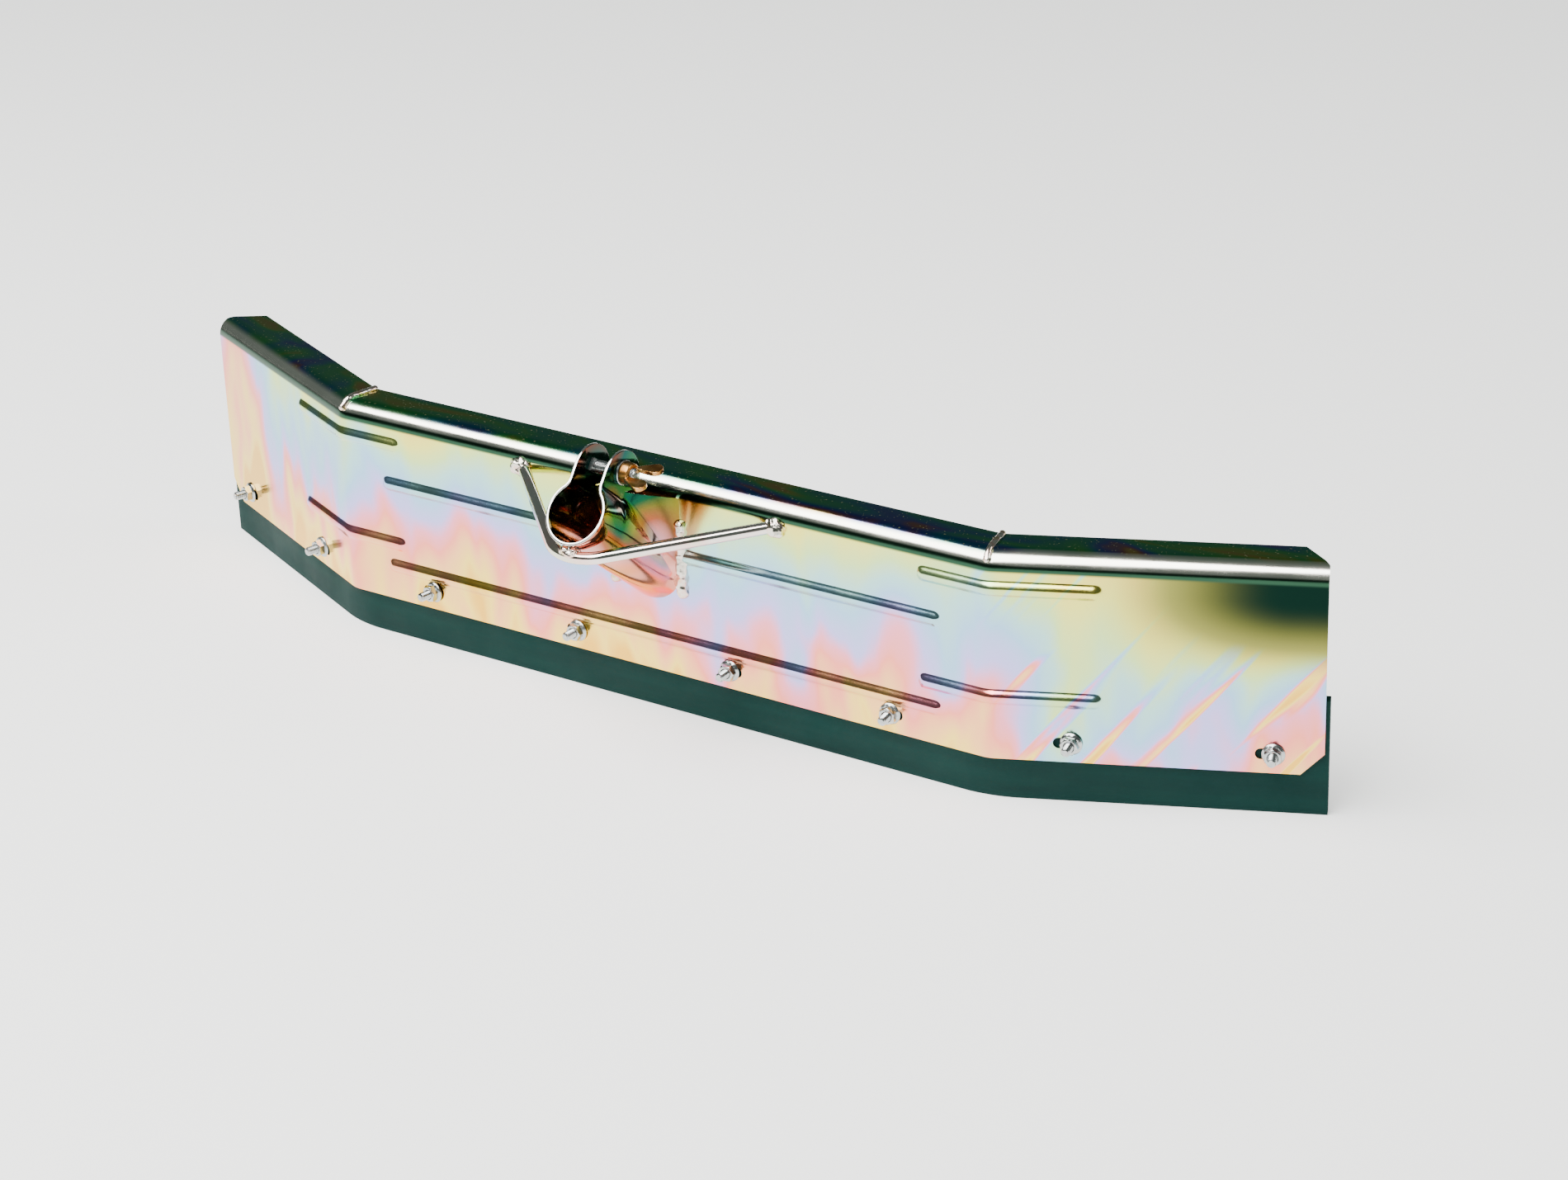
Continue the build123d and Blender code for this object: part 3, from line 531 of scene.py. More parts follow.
def blade_grid(sizes):
    """Lines of the blade's grid: along the bent sheet, and over web, fold and flange."""
    end = sizes.centre_half + sizes.wing
    half = sizes.centre_half
    tangent = sizes.bend_r * tan(sizes.wing_angle / 2)
    rib_ends = (-LONG_RIB_END, *SHORT_RIB_ENDS)
    marks = [side * (half + end) for side in (-1, 1) for end in sorted(rib_ends)]
    u = list(lines_between(-end, end, 9 * MM, marks, 7 * MM, 1.2 * MM))
    for side in (-1, 1):
        u = [v for v in u if abs(v - side * half) > tangent + 0.5 * MM]
        u += list(side * half + np.linspace(-tangent, tangent, 9))
    web = BLADE_HIGH.z - BLADE_LOW.z - sizes.fold_r
    v = list(lines_between(0, web, 6 * MM, sorted(LONG_RIBS + SHORT_RIBS), 6 * MM, 0.75 * MM))
    if web - v[-1] > 0.1 * MM:
        v.append(web)
    v += list(web + np.linspace(0, 1, 15)[1:] * sizes.fold_r * pi / 2)
    v += list(v[-1] + np.linspace(0, sizes.flange - sizes.fold_r, 6)[1:])
    return np.array(sorted(u)), np.array(v)


def section(sizes, v, inside):
    """Depth and height of the sheet's section at v up from the bottom edge."""
    web = BLADE_HIGH.z - BLADE_LOW.z - sizes.fold_r
    turn = np.clip((v - web) / sizes.fold_r, 0, pi / 2)
    flat = np.maximum(v - web - sizes.fold_r * pi / 2, 0)
    radius = sizes.fold_r - inside
    depth = sizes.fold_r - radius * np.cos(turn) + flat
    rise = np.where(v < web, v, web + radius * np.sin(turn))
    return depth, rise


def make_blade(sizes):
    """The bent and folded sheet with soft pressed ribs; its corners and bolt slots are cut
    afterwards.
    """
    u, v = blade_grid(sizes)
    uu, vv = np.meshgrid(u, v)
    web = BLADE_HIGH.z - BLADE_LOW.z - sizes.fold_r
    relief = rib_relief(sizes, uu, vv) * (vv < web)
    points = []
    for depth_in in (0.0, sizes.sheet):
        depth, rise = section(sizes, vv, depth_in - relief)
        x, y = plan(sizes, uu, depth)
        points.append(np.stack([x, y, BLADE_LOW.z + rise], -1).reshape(-1, 3))
    rows, columns = uu.shape
    count = rows * columns
    faces = grid_faces(rows, columns) + grid_faces(rows, columns, count)
    rim = list(range(columns)) + [r * columns + columns - 1 for r in range(1, rows)]
    rim += [(rows - 1) * columns + c for c in range(columns - 2, -1, -1)]
    rim += [r * columns for r in range(rows - 2, 0, -1)]
    for a, b in zip(rim, rim[1:] + rim[:1]):
        faces.append((a, b, b + count, a + count))
    return mesh_object("blade_sheet", np.vstack(points), faces)


def mark_edge_highlights(mesh, is_cut):
    """Marks the faces of the sheet's sheared edges, where a pale tone is painted in as a
    highlight.
    """
    marks = [float(is_cut(face.normal, face.center)) for face in mesh.polygons]
    mesh.attributes.new("cut_edge", "FLOAT", "FACE").data.foreach_set("value", marks)


def blade_edge(normal, middle):
    """Whether a face is on the bottom edge, a cut corner or one of the two ends."""
    sizes = bpy.context.scene.scraper_blade
    turn = sizes.wing_angle
    bottom = normal.z < -0.5 and middle.z < BLADE_LOW.z + sizes.corner
    end = abs(normal.x) * cos(turn) + normal.y * sin(turn) > 0.95
    return bottom or (end and middle.y > 0)


def prism(outline, plane_point, across, up, way, depth):
    """Points and faces of a prism: an outline in (across, up), run both ways along way."""
    ring = [plane_point + across * a + up * b for a, b in outline]
    points = [p - way * depth for p in ring] + [p + way * depth for p in ring]
    n = len(ring)
    faces = [tuple(range(n))[::-1], tuple(range(n, 2 * n))]
    faces += [(i, (i + 1) % n, n + (i + 1) % n, n + i) for i in range(n)]
    return points, faces


def facet(sizes, s):
    """Frame of the near face at s along the sheet: point at the bottom edge, along, outwards."""
    side, past = (1 if s > 0 else -1), max(0.0, abs(s) - sizes.centre_half)
    turn = sizes.wing_angle if past else 0.0
    x = min(abs(s), sizes.centre_half) + past * cos(turn)
    point = Vector((side * x, NEAR_Y + past * sin(turn), BLADE_LOW.z))
    along = Vector((cos(turn), side * sin(turn), 0))
    return point, along, Vector((side * sin(turn), -cos(turn), 0))


def cutters(sizes, bolts):
    """One mesh of the slots and corners that are cut out of the blade."""
    up = Vector((0, 0, 1))
    end = sizes.centre_half + sizes.wing
    places = [(2 * i / (bolts.count - 1) - 1) * (end - bolts.margin) for i in range(bolts.count)]
    level = BOLT_LEVEL - BLADE_LOW.z
    wing_shift, centre_shift = -3.5 * MM, 1.5 * MM     # middle of a slot from its bolt, outwards
    straight, r = (sizes.slot_length - sizes.slot_width) / 2, sizes.slot_width / 2
    tools = []
    for s in places:
        point, along, out = facet(sizes, s)
        on_wing = abs(s) > sizes.centre_half
        shift = (1 if s > 0 else -1) * (wing_shift if on_wing else centre_shift)
        outline = [(shift + straight + r * cos(a), level + r * sin(a))
                   for a in np.linspace(-pi / 2, pi / 2, 13)]
        outline += [(shift - straight + r * cos(a), level + r * sin(a))
                    for a in np.linspace(pi / 2, 3 * pi / 2, 13)]
        tools.append(prism(outline, point, along, up, out, 4 * MM))
    over = sizes.corner + 1 * MM
    for side in (-1, 1):
        point, along, out = facet(sizes, side * end)
        corner = [(-side * over, -MM), (side * MM, -MM), (side * MM, over)]
        tools.append(prism(corner, point, along, up, out, 5 * MM))
        top = Vector((point.x, point.y, BLADE_HIGH.z))
        start = sizes.flange - sizes.flange_cut_deep
        cut = [(side * MM, start), (0, start), (-side * sizes.flange_cut_along, sizes.flange),
               (-side * sizes.flange_cut_along, sizes.flange + MM), (side * MM, sizes.flange + MM)]
        tools.append(prism(cut, top, along, -out, up, 12.5 * MM))
    return mesh_object("blade_cuts", *joined(tools), smooth=False)


# ---- turned, swept and lumpy shapes ----

def turned(profile, segments=48, hexagon=0.0, thread=None, place=Matrix()):
    """Points and faces of a shape turned round its local Z. The profile's rows are (radius,
    height), and a third True where the row is a hexagon; hexagon is its width across flats;
    thread is (start, pitch, depth)."""
    angles = np.arange(segments) * 2 * pi / segments
    flats = hexagon / 2 / np.cos((angles + pi / 6) % (pi / 3) - pi / 6)
    points = []
    for radius, height, *is_hex in profile:
        ring = np.minimum(radius, flats) if is_hex else np.full(segments, radius)
        if thread and height > thread[0] and radius > 0 and not is_hex:
            _, pitch, depth = thread
            phase = (height / pitch - angles / (2 * pi)) % 1.0
            ring = ring - depth * np.clip(np.abs(2 * phase - 1) * 1.3 - 0.1, 0, 1)
        points += [place @ Vector((r * cos(a), r * sin(a), height)) for r, a in zip(ring, angles)]
    return points, grid_faces(len(profile), segments, closed=True)


def threaded_end(radius, start, tip, pitch, chamfer):
    """Profile rows of a threaded shank from start to its chamfered tip."""
    rows = [(radius, h) for h in np.arange(start, tip - chamfer, pitch / 8)]
    rows += [(radius - chamfer * f, tip - chamfer * (1 - f)) for f in (0, 0.35, 0.7, 1)]
    return rows + [(0, tip)]


def joined(shapes):
    """One list of points and faces from several."""
    points, faces = [], []
    for new_points, new_faces in shapes:
        faces += [tuple(i + len(points) for i in f) for f in new_faces]
        points += [Vector(p) for p in new_points]
    return points, faces


def tube(path, radius, side, segments=32, ripple=0.0, rough=0.0, seed=0.0, flat_ends=False):
    """Points and faces of a round bar along a path of points that lies square to side.
    ripple and rough give a weld's scallops and lumps; its ends are round unless flat_ends."""
    path = [Vector(p) for p in path]
    ways = [(b - a).normalized() for a, b in zip(path, path[1:])]
    ways = [ways[0]] + [(a + b).normalized() for a, b in zip(ways, ways[1:])] + [ways[-1]]
    gone = [0.0]
    for a, b in zip(path, path[1:]):
        gone.append(gone[-1] + (b - a).length)
    rings = [(p, w, 1.0, g) for p, w, g in zip(path, ways, gone)]
    if not flat_ends:
        lead = [(1 - cos(a), sin(a)) for a in np.linspace(0, pi / 2, 8)[:-1]]
        first = [(path[0] - ways[0] * radius * (1 - d), ways[0], w, 0.0) for d, w in lead]
        last = [(path[-1] + ways[-1] * radius * (1 - d), ways[-1], w, gone[-1]) for d, w in lead]
        rings = first + rings + last[::-1]
    points = []
    for middle, way, width, run in rings:
        across = side.cross(way).normalized()
        for a in np.linspace(0, 2 * pi, segments, endpoint=False):
            out = side * cos(a) + across * sin(a)
            spot = middle + out * radius * width
            lump = noise.noise(spot / (0.9 * radius) + Vector((seed, seed, 0))) * rough
            wave = ripple * abs(sin(pi * run / (0.55 * radius) + 0.7 * cos(a)))
            points.append(spot + out * width * radius * (lump - wave))
    faces = grid_faces(len(rings), segments, closed=True)
    if flat_ends:
        n = len(points)
        faces += [tuple(range(segments))[::-1], tuple(range(n - segments, n))]
    return points, faces


def blob(middle, half_x, half_y, half_z, seed):
    """Points and faces of a lump of weld metal: an ellipsoid with scallops and lumps."""
    shape = bmesh.new()
    bmesh.ops.create_icosphere(shape, subdivisions=5, radius=1)
    points = []
    for vert in shape.verts:
        way = vert.co.normalized()
        lump = noise.noise(way * 1.7 + Vector((seed, 0, 0))) * 0.22
        lump += noise.noise(way * 4.5 + Vector((0, seed, 0))) * 0.06
        wave = 0.05 * abs(sin(5.2 * (way.x + 0.4 * way.z) + seed))
        grown = way * (1 + lump - wave)
        points.append(middle + Vector((grown.x * half_x, grown.y * half_y, grown.z * half_z)))
    faces = [tuple(v.index for v in f.verts) for f in shape.faces]
    shape.free()
    return points, faces


def square_bar(frame_at, half, depth):
    """Points and faces of a square bar round a local frame's Z, run both ways."""
    corners = [(-half, -half), (half, -half), (half, half), (-half, half)]
    sides = [frame_at.to_3x3() @ Vector(v) for v in ((1, 0, 0), (0, 1, 0), (0, 0, 1))]
    return prism(corners, frame_at.translation, *sides, depth)


def drill(radius, depth, segments, frame_at):
    """Points and faces of a round cutter along a local frame's Z, from 1 mm before it."""
    rows = [(0, -MM), (radius, -MM), (radius, depth), (0, depth)]
    return turned(rows, segments, place=frame_at)


def rounding(edge, count):
    """Steps (in, inset) round a soft edge."""
    return [(edge * (1 - cos(a)), edge * (1 - sin(a))) for a in np.linspace(0, pi / 2, count)]


def boolean(piece, tool, operation):
    """Cuts or joins a piece with a tool, which is used up."""
    held = piece.modifiers.new(operation.lower(), "BOOLEAN")
    held.operation, held.solver, held.object = operation, "EXACT", tool
    apply_modifiers(piece)
    bpy.data.objects.remove(tool)
    return piece


def placed(origin, x_axis, z_axis):
    """Matrix of a local frame at origin."""
    y_axis = z_axis.cross(x_axis)
    return Matrix.Translation(origin) @ Matrix((x_axis, y_axis, z_axis)).transposed().to_4x4()


# ---- pieces that follow the blade's path ----

def guide(name, depth, over, level):
    """Open polyline along the sheet at a depth behind its near face, with sharp bends."""
    sizes = bpy.context.scene.scraper_blade
    half = tan(sizes.wing_angle / 2)
    points = []
    for side in (-1, 1):
        ends = []
        for along in (sizes.wing + over, depth * half):
            turn = sizes.wing_angle
            x = sizes.centre_half + along * cos(turn) - depth * sin(turn)
            y = along * sin(turn) + depth * cos(turn)
            ends.append(Vector((side * x, NEAR_Y + y, level)))
        points += ends if side < 0 else ends[::-1]
    mesh = bpy.data.meshes.new(name)
    mesh.from_pydata([tuple(p) for p in points], [(0, 1), (1, 2), (2, 3)], [])
    made = bpy.data.objects.new(name, mesh)
    bpy.context.scene.collection.objects.link(made)
    return made


def node_group(name, sockets):
    """A Geometry Nodes tree with named inputs: the tree and its input node's outputs."""
    tree = bpy.data.node_groups.new(name, "GeometryNodeTree")
    tree.interface.new_socket("Geometry", in_out="INPUT", socket_type="NodeSocketGeometry")
    for label, kind in sockets.items():
        tree.interface.new_socket(label, in_out="INPUT", socket_type=f"NodeSocket{kind}")
    tree.interface.new_socket("Geometry", in_out="OUTPUT", socket_type="NodeSocketGeometry")
    return tree, add(tree, "NodeGroupInput").outputs


def run_nodes(piece, tree, values):
    """Puts a tree on a piece, sets its inputs and keeps the result as a plain mesh."""
    held = piece.modifiers.new(tree.name, "NODES")
    held.node_group = tree
    for item in tree.interface.items_tree:
        if item.in_out == "INPUT" and item.name in values:
            held[item.identifier] = values[item.name]
    return apply_modifiers(piece)


def end_tree(tree, shape, material):
    """The last nodes: real geometry, its material, the output."""
    real = add(tree, "GeometryNodeRealizeInstances", {"Geometry": shape})
    coated = add(tree, "GeometryNodeSetMaterial", {"Geometry": real.outputs[0],
                                                   "Material": material})
    add(tree, "NodeGroupOutput", {"Geometry": coated.outputs[0]})


def row_tree():
    """Copies of one fastener spaced evenly along a path, each turned by chance on its axis."""
    tree, given = node_group("fastener_row", {
        "Fastener": "Object", "Count": "Int", "Margin": "Float", "Turn": "Float", "Seed": "Int",
        "Material": "Material"})
    path = add(tree, "GeometryNodeMeshToCurve", {"Mesh": given["Geometry"]}).outputs[0]
    whole = add(tree, "GeometryNodeCurveLength", {"Curve": path}).outputs[0]
    spare = add(tree, "ShaderNodeMath", {0: given["Margin"], 1: -2.0, 2: whole},
                operation="MULTIPLY_ADD")
    gaps = add(tree, "ShaderNodeMath", {0: given["Count"], 1: 1.0}, operation="SUBTRACT")
    pitch = add(tree, "ShaderNodeMath", {0: spare.outputs[0], 1: gaps.outputs[0]},
                operation="DIVIDE")
    index = add(tree, "GeometryNodeInputIndex").outputs[0]
    run = add(tree, "ShaderNodeMath", {0: index, 1: pitch.outputs[0], 2: given["Margin"]},
              operation="MULTIPLY_ADD")
    spot = add(tree, "GeometryNodeSampleCurve", {"Curves": path, "Length": run.outputs[0]},
               mode="LENGTH", use_all_curves=True)
    points = add(tree, "GeometryNodePoints", {"Count": given["Count"],
                                              "Position": spot.outputs["Position"]})
    facing = add(tree, "FunctionNodeAlignRotationToVector", {"Vector": spot.outputs["Tangent"]},
                 axis="X", pivot_axis="Z")
    chance = add(tree, "FunctionNodeRandomValue",
                 {2: 0.0, 3: given["Turn"], "Seed": given["Seed"]}, data_type="FLOAT")
    spin = add(tree, "FunctionNodeAxisAngleToRotation", {"Axis": (0.0, 1.0, 0.0),
                                                         "Angle": chance.outputs[1]})
    turn = add(tree, "FunctionNodeRotateRotation", {"Rotation": facing.outputs[0],
                                                    "Rotate By": spin.outputs[0]},
               rotation_space="LOCAL")
    model = add(tree, "GeometryNodeObjectInfo", {"Object": given["Fastener"]})
    row = add(tree, "GeometryNodeInstanceOnPoints", {"Points": points.outputs[0],
                                                     "Instance": model.outputs["Geometry"],
                                                     "Rotation": turn.outputs[0]})
    end_tree(tree, row.outputs[0], given["Material"])
    return tree


def lip_tree():
    """A rounded strip swept along a path whose corners are eased."""
    tree, given = node_group("rubber_strip", {
        "Thickness": "Float", "Height": "Float", "Edge": "Float", "Bend radius": "Float",
        "Material": "Material"})
    path = add(tree, "GeometryNodeMeshToCurve", {"Mesh": given["Geometry"]}).outputs[0]
    eased = add(tree, "GeometryNodeFilletCurve", {"Curve": path, "Count": 24,
                                                  "Radius": given["Bend radius"]}, mode="POLY")
    upright = add(tree, "GeometryNodeSetCurveNormal", {"Curve": eased.outputs[0]}, mode="Z_UP")
    outline = add(tree, "GeometryNodeCurvePrimitiveQuadrilateral",
                  {"Width": given["Thickness"], "Height": given["Height"]}, mode="RECTANGLE")
    rounded = add(tree, "GeometryNodeFilletCurve", {"Curve": outline.outputs[0], "Count": 4,
                                                    "Radius": given["Edge"]}, mode="POLY")
    strip = add(tree, "GeometryNodeCurveToMesh", {"Curve": upright.outputs[0],
                                                  "Profile Curve": rounded.outputs[0],
                                                  "Fill Caps": True})
    end_tree(tree, strip.outputs[0], given["Material"])
    return tree


def make_lip(sizes):
    """The rubber strip behind the blade."""
    blade = bpy.context.scene.scraper_blade
    middle = blade.sheet + sizes.thickness / 2
    strip = guide("rubber_lip_strip", middle, sizes.overhang, (LIP_LOW.z + LIP_HIGH.z) / 2)
    material = make_rubber(sizes.tint)
    run_nodes(strip, lip_tree(), {"Thickness": sizes.thickness, "Height": LIP_HIGH.z - LIP_LOW.z,
                                  "Edge": sizes.edge, "Material": material,
                                  "Bend radius": sizes.bend_r - sizes.thickness / 2})
    return finish_piece(soften(strip), material, "lip_rubber", "rubber_lip")


def fastener_models(sizes):
    """The three repeated shapes, each with its axis along -Y and the near face at the origin."""
    outwards = Matrix.Rotation(pi / 2, 4, "X")
    low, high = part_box("lip_bolt_4")
    head, tip = NEAR_Y - high.y, NEAR_Y - low.y
    washer_low, washer_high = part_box("lip_washer_4")
    seat, back = NEAR_Y - washer_low.y, NEAR_Y - washer_high.y
    corner, flat = sizes.across / sqrt(3), sizes.across / 2
    r, bore = sizes.thread / 2, sizes.thread / 2 + THREAD_PLAY
    crown = 0.75 * MM                      # height of the rounded corners of a hexagon
    bolt = [(0, head), (flat * 0.93, head, True), (corner, head + crown, True),
            (corner, back, True), (r, back)]
    bolt += threaded_end(r, 1 * MM, tip, sizes.pitch, 0.9 * MM)
    rim = sizes.flange / 2
    nut = [(bore, 0), (rim - 0.2 * MM, 0), (rim, 0.15 * MM),
           (rim, 0.75 * MM), (rim - 0.25 * MM, 1.05 * MM), (corner, 1.85 * MM),
           (corner, 1.95 * MM, True), (corner, sizes.nut - crown, True)]
    nut += [(corner + (flat * 0.92 - corner) * f, sizes.nut - crown * (1 - f) ** 1.3, True)
            for f in np.linspace(0.12, 1, 6)]
    nut += [(bore + 0.55 * MM, sizes.nut), (bore, sizes.nut - 0.5 * MM), (bore, 0)]
    wide, edge = sizes.washer / 2, 0.25 * MM
    washer = [(r + 0.2 * MM, back), (wide - edge, back), (wide, back + edge),
              (wide, seat - edge), (wide - edge, seat), (r + 0.2 * MM, seat),
              (r + 0.2 * MM, back)]
    thread = (1.5 * MM, sizes.pitch, 0.5 * MM)
    return {"bolt": turned(bolt, 48, sizes.across, thread, outwards),
            "nut": turned(nut, 72, sizes.across, None, outwards),
            "washer": turned(washer, 56, 0.0, None, outwards)}


def make_fastener_rows(sizes):
    """The rows of lip bolts, flange nuts and washers."""
    tree = row_tree()
    material = make_zinc("bright_zinc_plated_fastener", sizes.tint)
    for step, (kind, shape) in enumerate(fastener_models(sizes).items()):
        model = soften(mesh_object(f"{kind}_model", *shape), 28)
        row = guide(f"lip_{kind}_row", 0.0, 0.0, BOLT_LEVEL)
        run_nodes(row, tree, {"Fastener": model, "Count": sizes.count, "Margin": sizes.margin,
                              "Turn": 2 * pi, "Seed": sizes.seed + step, "Material": material})
        bpy.data.objects.remove(model)
        nodes = [f"lip_{kind}_{i}" for i in range(1, sizes.count + 1)]
        finish_piece(row, material, "zinc_plated_steel", *nodes)


# ---- pole clamp ----

def axes(sizes):
    """Middle of the clamp's front rim, the way out along the bore, and the way up to the ears."""
    out = Vector((0, -cos(sizes.tilt), sin(sizes.tilt)))
    up = Vector((0, sin(sizes.tilt), cos(sizes.tilt)))
    return Vector((0, NEAR_Y, sizes.foot_height)) + out * sizes.reach, out, up


def arc(middle, radius, start, end, count):
    """Points on an arc, in a plane, from one angle to another."""
    return [(middle[0] + radius * cos(a), middle[1] + radius * sin(a))
            for a in np.linspace(start, end, count)]


def neck_rise(sizes):
    """Height of the necks' centres over the bore's axis, and their distance to the side."""
    aside = sizes.ear_gap / 2 + sizes.sheet + sizes.neck_r
    whole = sizes.bore + sizes.sheet + sizes.neck_r
    return sqrt(whole ** 2 - aside ** 2), aside


def keyhole(sizes, grow, steps=(5, 14, 64)):
    """Section of one face of the sheet round the bore, from the right ear to the left."""
    rise, aside = neck_rise(sizes)
    ear = sizes.ear_gap / 2 + grow
    neck = sizes.neck_r + sizes.sheet - grow
    lean = atan2(rise, aside)
    line = [(ear, z) for z in np.linspace(rise + sizes.neck_rise, rise, steps[0])]
    turn = arc((aside, rise), neck, pi, pi + lean, steps[1])
    half = arc((0, 0), sizes.bore + grow, lean, -pi / 2, steps[2] // 2 + 1)
    right = line + turn[1:] + half[1:]
    return right + [(-x, z) for x, z in right[-2::-1]]


def skirt(sizes, grow, steps=(5, 14, 64)):
    """Section of one face of the skirt at the blade, in step with keyhole."""
    r = sizes.bore + sizes.flare + grow
    lean = radians(25)      # where the neck's points end, so that they meet the skirt's evenly
    line = [(r, z) for z in np.linspace(sizes.skirt_top, sizes.skirt_low, steps[0])]
    turn = arc((0, sizes.skirt_low), r, 0, -lean, steps[1])
    half = arc((0, sizes.skirt_low), r, -lean, -pi / 2, steps[2] // 2 + 1)
    right = line + turn[1:] + half[1:]
    return right + [(-x, z) for x, z in right[-2::-1]]


def clamp_shell(sizes):
    """Points and faces of the bore and the skirt, as one closed shell with a rounded rim."""
    rim, out, up = axes(sizes)
    sheet = sizes.sheet
    rows = rounding(SOFT_EDGE, 5)
    rows += [(b, 0.0) for b in np.linspace(SOFT_EDGE, sizes.straight, 8)[1:]]
    loops = []
    for back, inset in rows:
        place = rim - out * back
        ring = keyhole(sizes, sheet - inset) + keyhole(sizes, inset)[::-1]
        loops.append([place + Vector((x, 0, 0)) + up * z for x, z in ring])
    foot = skirt(sizes, sheet) + skirt(sizes, 0.0)[::-1]
    foot = [Vector((x, NEAR_Y, z)) for x, z in foot]
    start, pull = loops[-1], 0.55          # how far the skirt runs on straight before it flares
    for t in np.linspace(0, 1, 25)[1:]:
        a, b = t * t * (3 - 2 * t), t * (1 - t) ** 2
        loops.append([p * (1 - a) + q * a + (-out * (q - p).length - (q - p)) * pull * b
                      for p, q in zip(start, foot)])
    n = len(loops[0])
    points = [p for ring in loops for p in ring]
    faces = grid_faces(len(loops), n, closed=True)
    half = n // 2
    for base in (0, (len(loops) - 1) * n):
        faces += [(base + i, base + i + 1, base + n - 2 - i, base + n - 1 - i)
                  for i in range(half - 1)]
    return points, faces


def ear_plate(sizes, low):
    """Points and faces of one ear, from low to low plus the sheet's thickness in x."""
    rim, out, up = axes(sizes)
    base = neck_rise(sizes)[0] + sizes.neck_rise
    foot, top = base - 1 * MM, base + sizes.ear_rise
    rows = rounding(SOFT_EDGE, 4)
    rows += [(sizes.sheet - x, i) for x, i in rows[::-1]]
    loops = []
    for x, inset in rows:
        r = sizes.ear_r - inset
        outline = [(inset, foot)] + arc((sizes.ear_r, top), r, pi, 0, 40)
        outline += [(sizes.straight - inset * 0.6, foot)]
        loops.append([rim + Vector((low + x, 0, 0)) - out * b + up * h for b, h in outline])
    n = len(loops[0])
    points = [p for ring in loops for p in ring]
    faces = grid_faces(len(loops), n, closed=True)
    faces += [tuple(range(n))[::-1], tuple(range(len(points) - n, len(points)))]
    return points, faces


def bolt_frame(sizes, x):
    """Local frame on the clamp bolt's axis: Z along the bolt, X back along the ears."""
    middle = centre("wing_nut_washer")
    return placed(Vector((x, middle.y, middle.z)), -axes(sizes)[1], Vector((1, 0, 0)))


def clamp_edge(normal, place):
    """Whether a face is on the clamp's front rim or on the edge round an ear."""
    sizes = bpy.context.scene.scraper_clamp
    rim, out, up = axes(sizes)
    middle = place - rim
    front = normal.dot(out) > 0.5 and middle.dot(out) > -MM
    return front or (abs(normal.x) < 0.7 and middle.dot(up) > neck_rise(sizes)[0] + 2 * MM)


def make_clamp(sizes):
    """The pressed keyhole clamp with its two ears and their bolt holes."""
    clamp = mesh_object("pressed_pole_clamp", *clamp_shell(sizes))
    ear = sizes.ear_gap / 2
    for low in (-ear - sizes.sheet, ear):
        boolean(clamp, mesh_object("ear_plate", *ear_plate(sizes, low)), "UNION")
    hole = 4.2 * MM         # round hole's radius, and half of the square hole
    cuts = joined([drill(hole, 4 * MM, 40, bolt_frame(sizes, ear - MM)),
                   square_bar(bolt_frame(sizes, -ear - sizes.sheet / 2), hole, 3 * MM)])
    boolean(clamp, mesh_object("bolt_holes", *cuts), "DIFFERENCE")
    mark_edge_highlights(clamp.data, clamp_edge)
    return soften(clamp, 32)


# ---- clamp bolt and wing nut ----

def make_clamp_bolt(sizes, clamp):
    """Carriage bolt: domed head, square neck, threaded shank with a chamfered end."""
    low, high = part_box("clamp_bolt")
    seat = -clamp.ear_gap / 2 - clamp.sheet
    head_r, dome = 9 * MM, seat - low.x - 1 * MM
    ball = (head_r ** 2 + dome ** 2) / (2 * dome)
    rows = [(r, low.x + ball - sqrt(ball ** 2 - r ** 2)) for r in head_r * np.linspace(0, 1, 10)]
    rows += [(head_r, seat - 0.25 * MM), (head_r - 0.25 * MM, seat),
             (sizes.thread / 2, seat)]
    rows += threaded_end(sizes.thread / 2, seat + 5 * MM, high.x, sizes.pitch, 1.1 * MM)
    shape = turned(rows, 56, thread=(seat + 6 * MM, sizes.pitch, 0.62 * MM),
                   place=bolt_frame(clamp, 0))
    square = square_bar(bolt_frame(clamp, seat + 2 * MM), 3.97 * MM, 2.5 * MM)
    bolt = mesh_object("carriage_bolt", *shape)
    boolean(bolt, mesh_object("square_neck", *square), "UNION")
    return soften(bolt, 30)


def make_nut_washer(sizes, clamp):
    """Plain washer under the wing nut."""
    low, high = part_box("wing_nut_washer")
    wide, edge, bore = (high.z - low.z) / 2, 0.3 * MM, sizes.thread / 2 + THREAD_PLAY
    thick = high.x - low.x - 0.1 * MM       # a hair short of the nut: no face is shared
    rows = [(bore, 0), (wide - edge, 0), (wide, edge), (wide, thick - edge),
            (wide - edge, thick), (bore, thick), (bore, 0)]
    return soften(mesh_object("plain_washer", *turned(rows, 64, place=bolt_frame(clamp, low.x))))


def hull(points):
    """Convex outline round points in a plane, anticlockwise."""
    points = sorted(points)
    ring = []
    for line in (points, points[::-1]):
        start = len(ring)
        for p in line:
            while len(ring) - start > 1:
                (ax, ay), (bx, by) = ring[-2], ring[-1]
                if (bx - ax) * (p[1] - ay) - (by - ay) * (p[0] - ax) > 0:
                    break
                ring.pop()
            ring.append(p)
        ring.pop()
    return ring


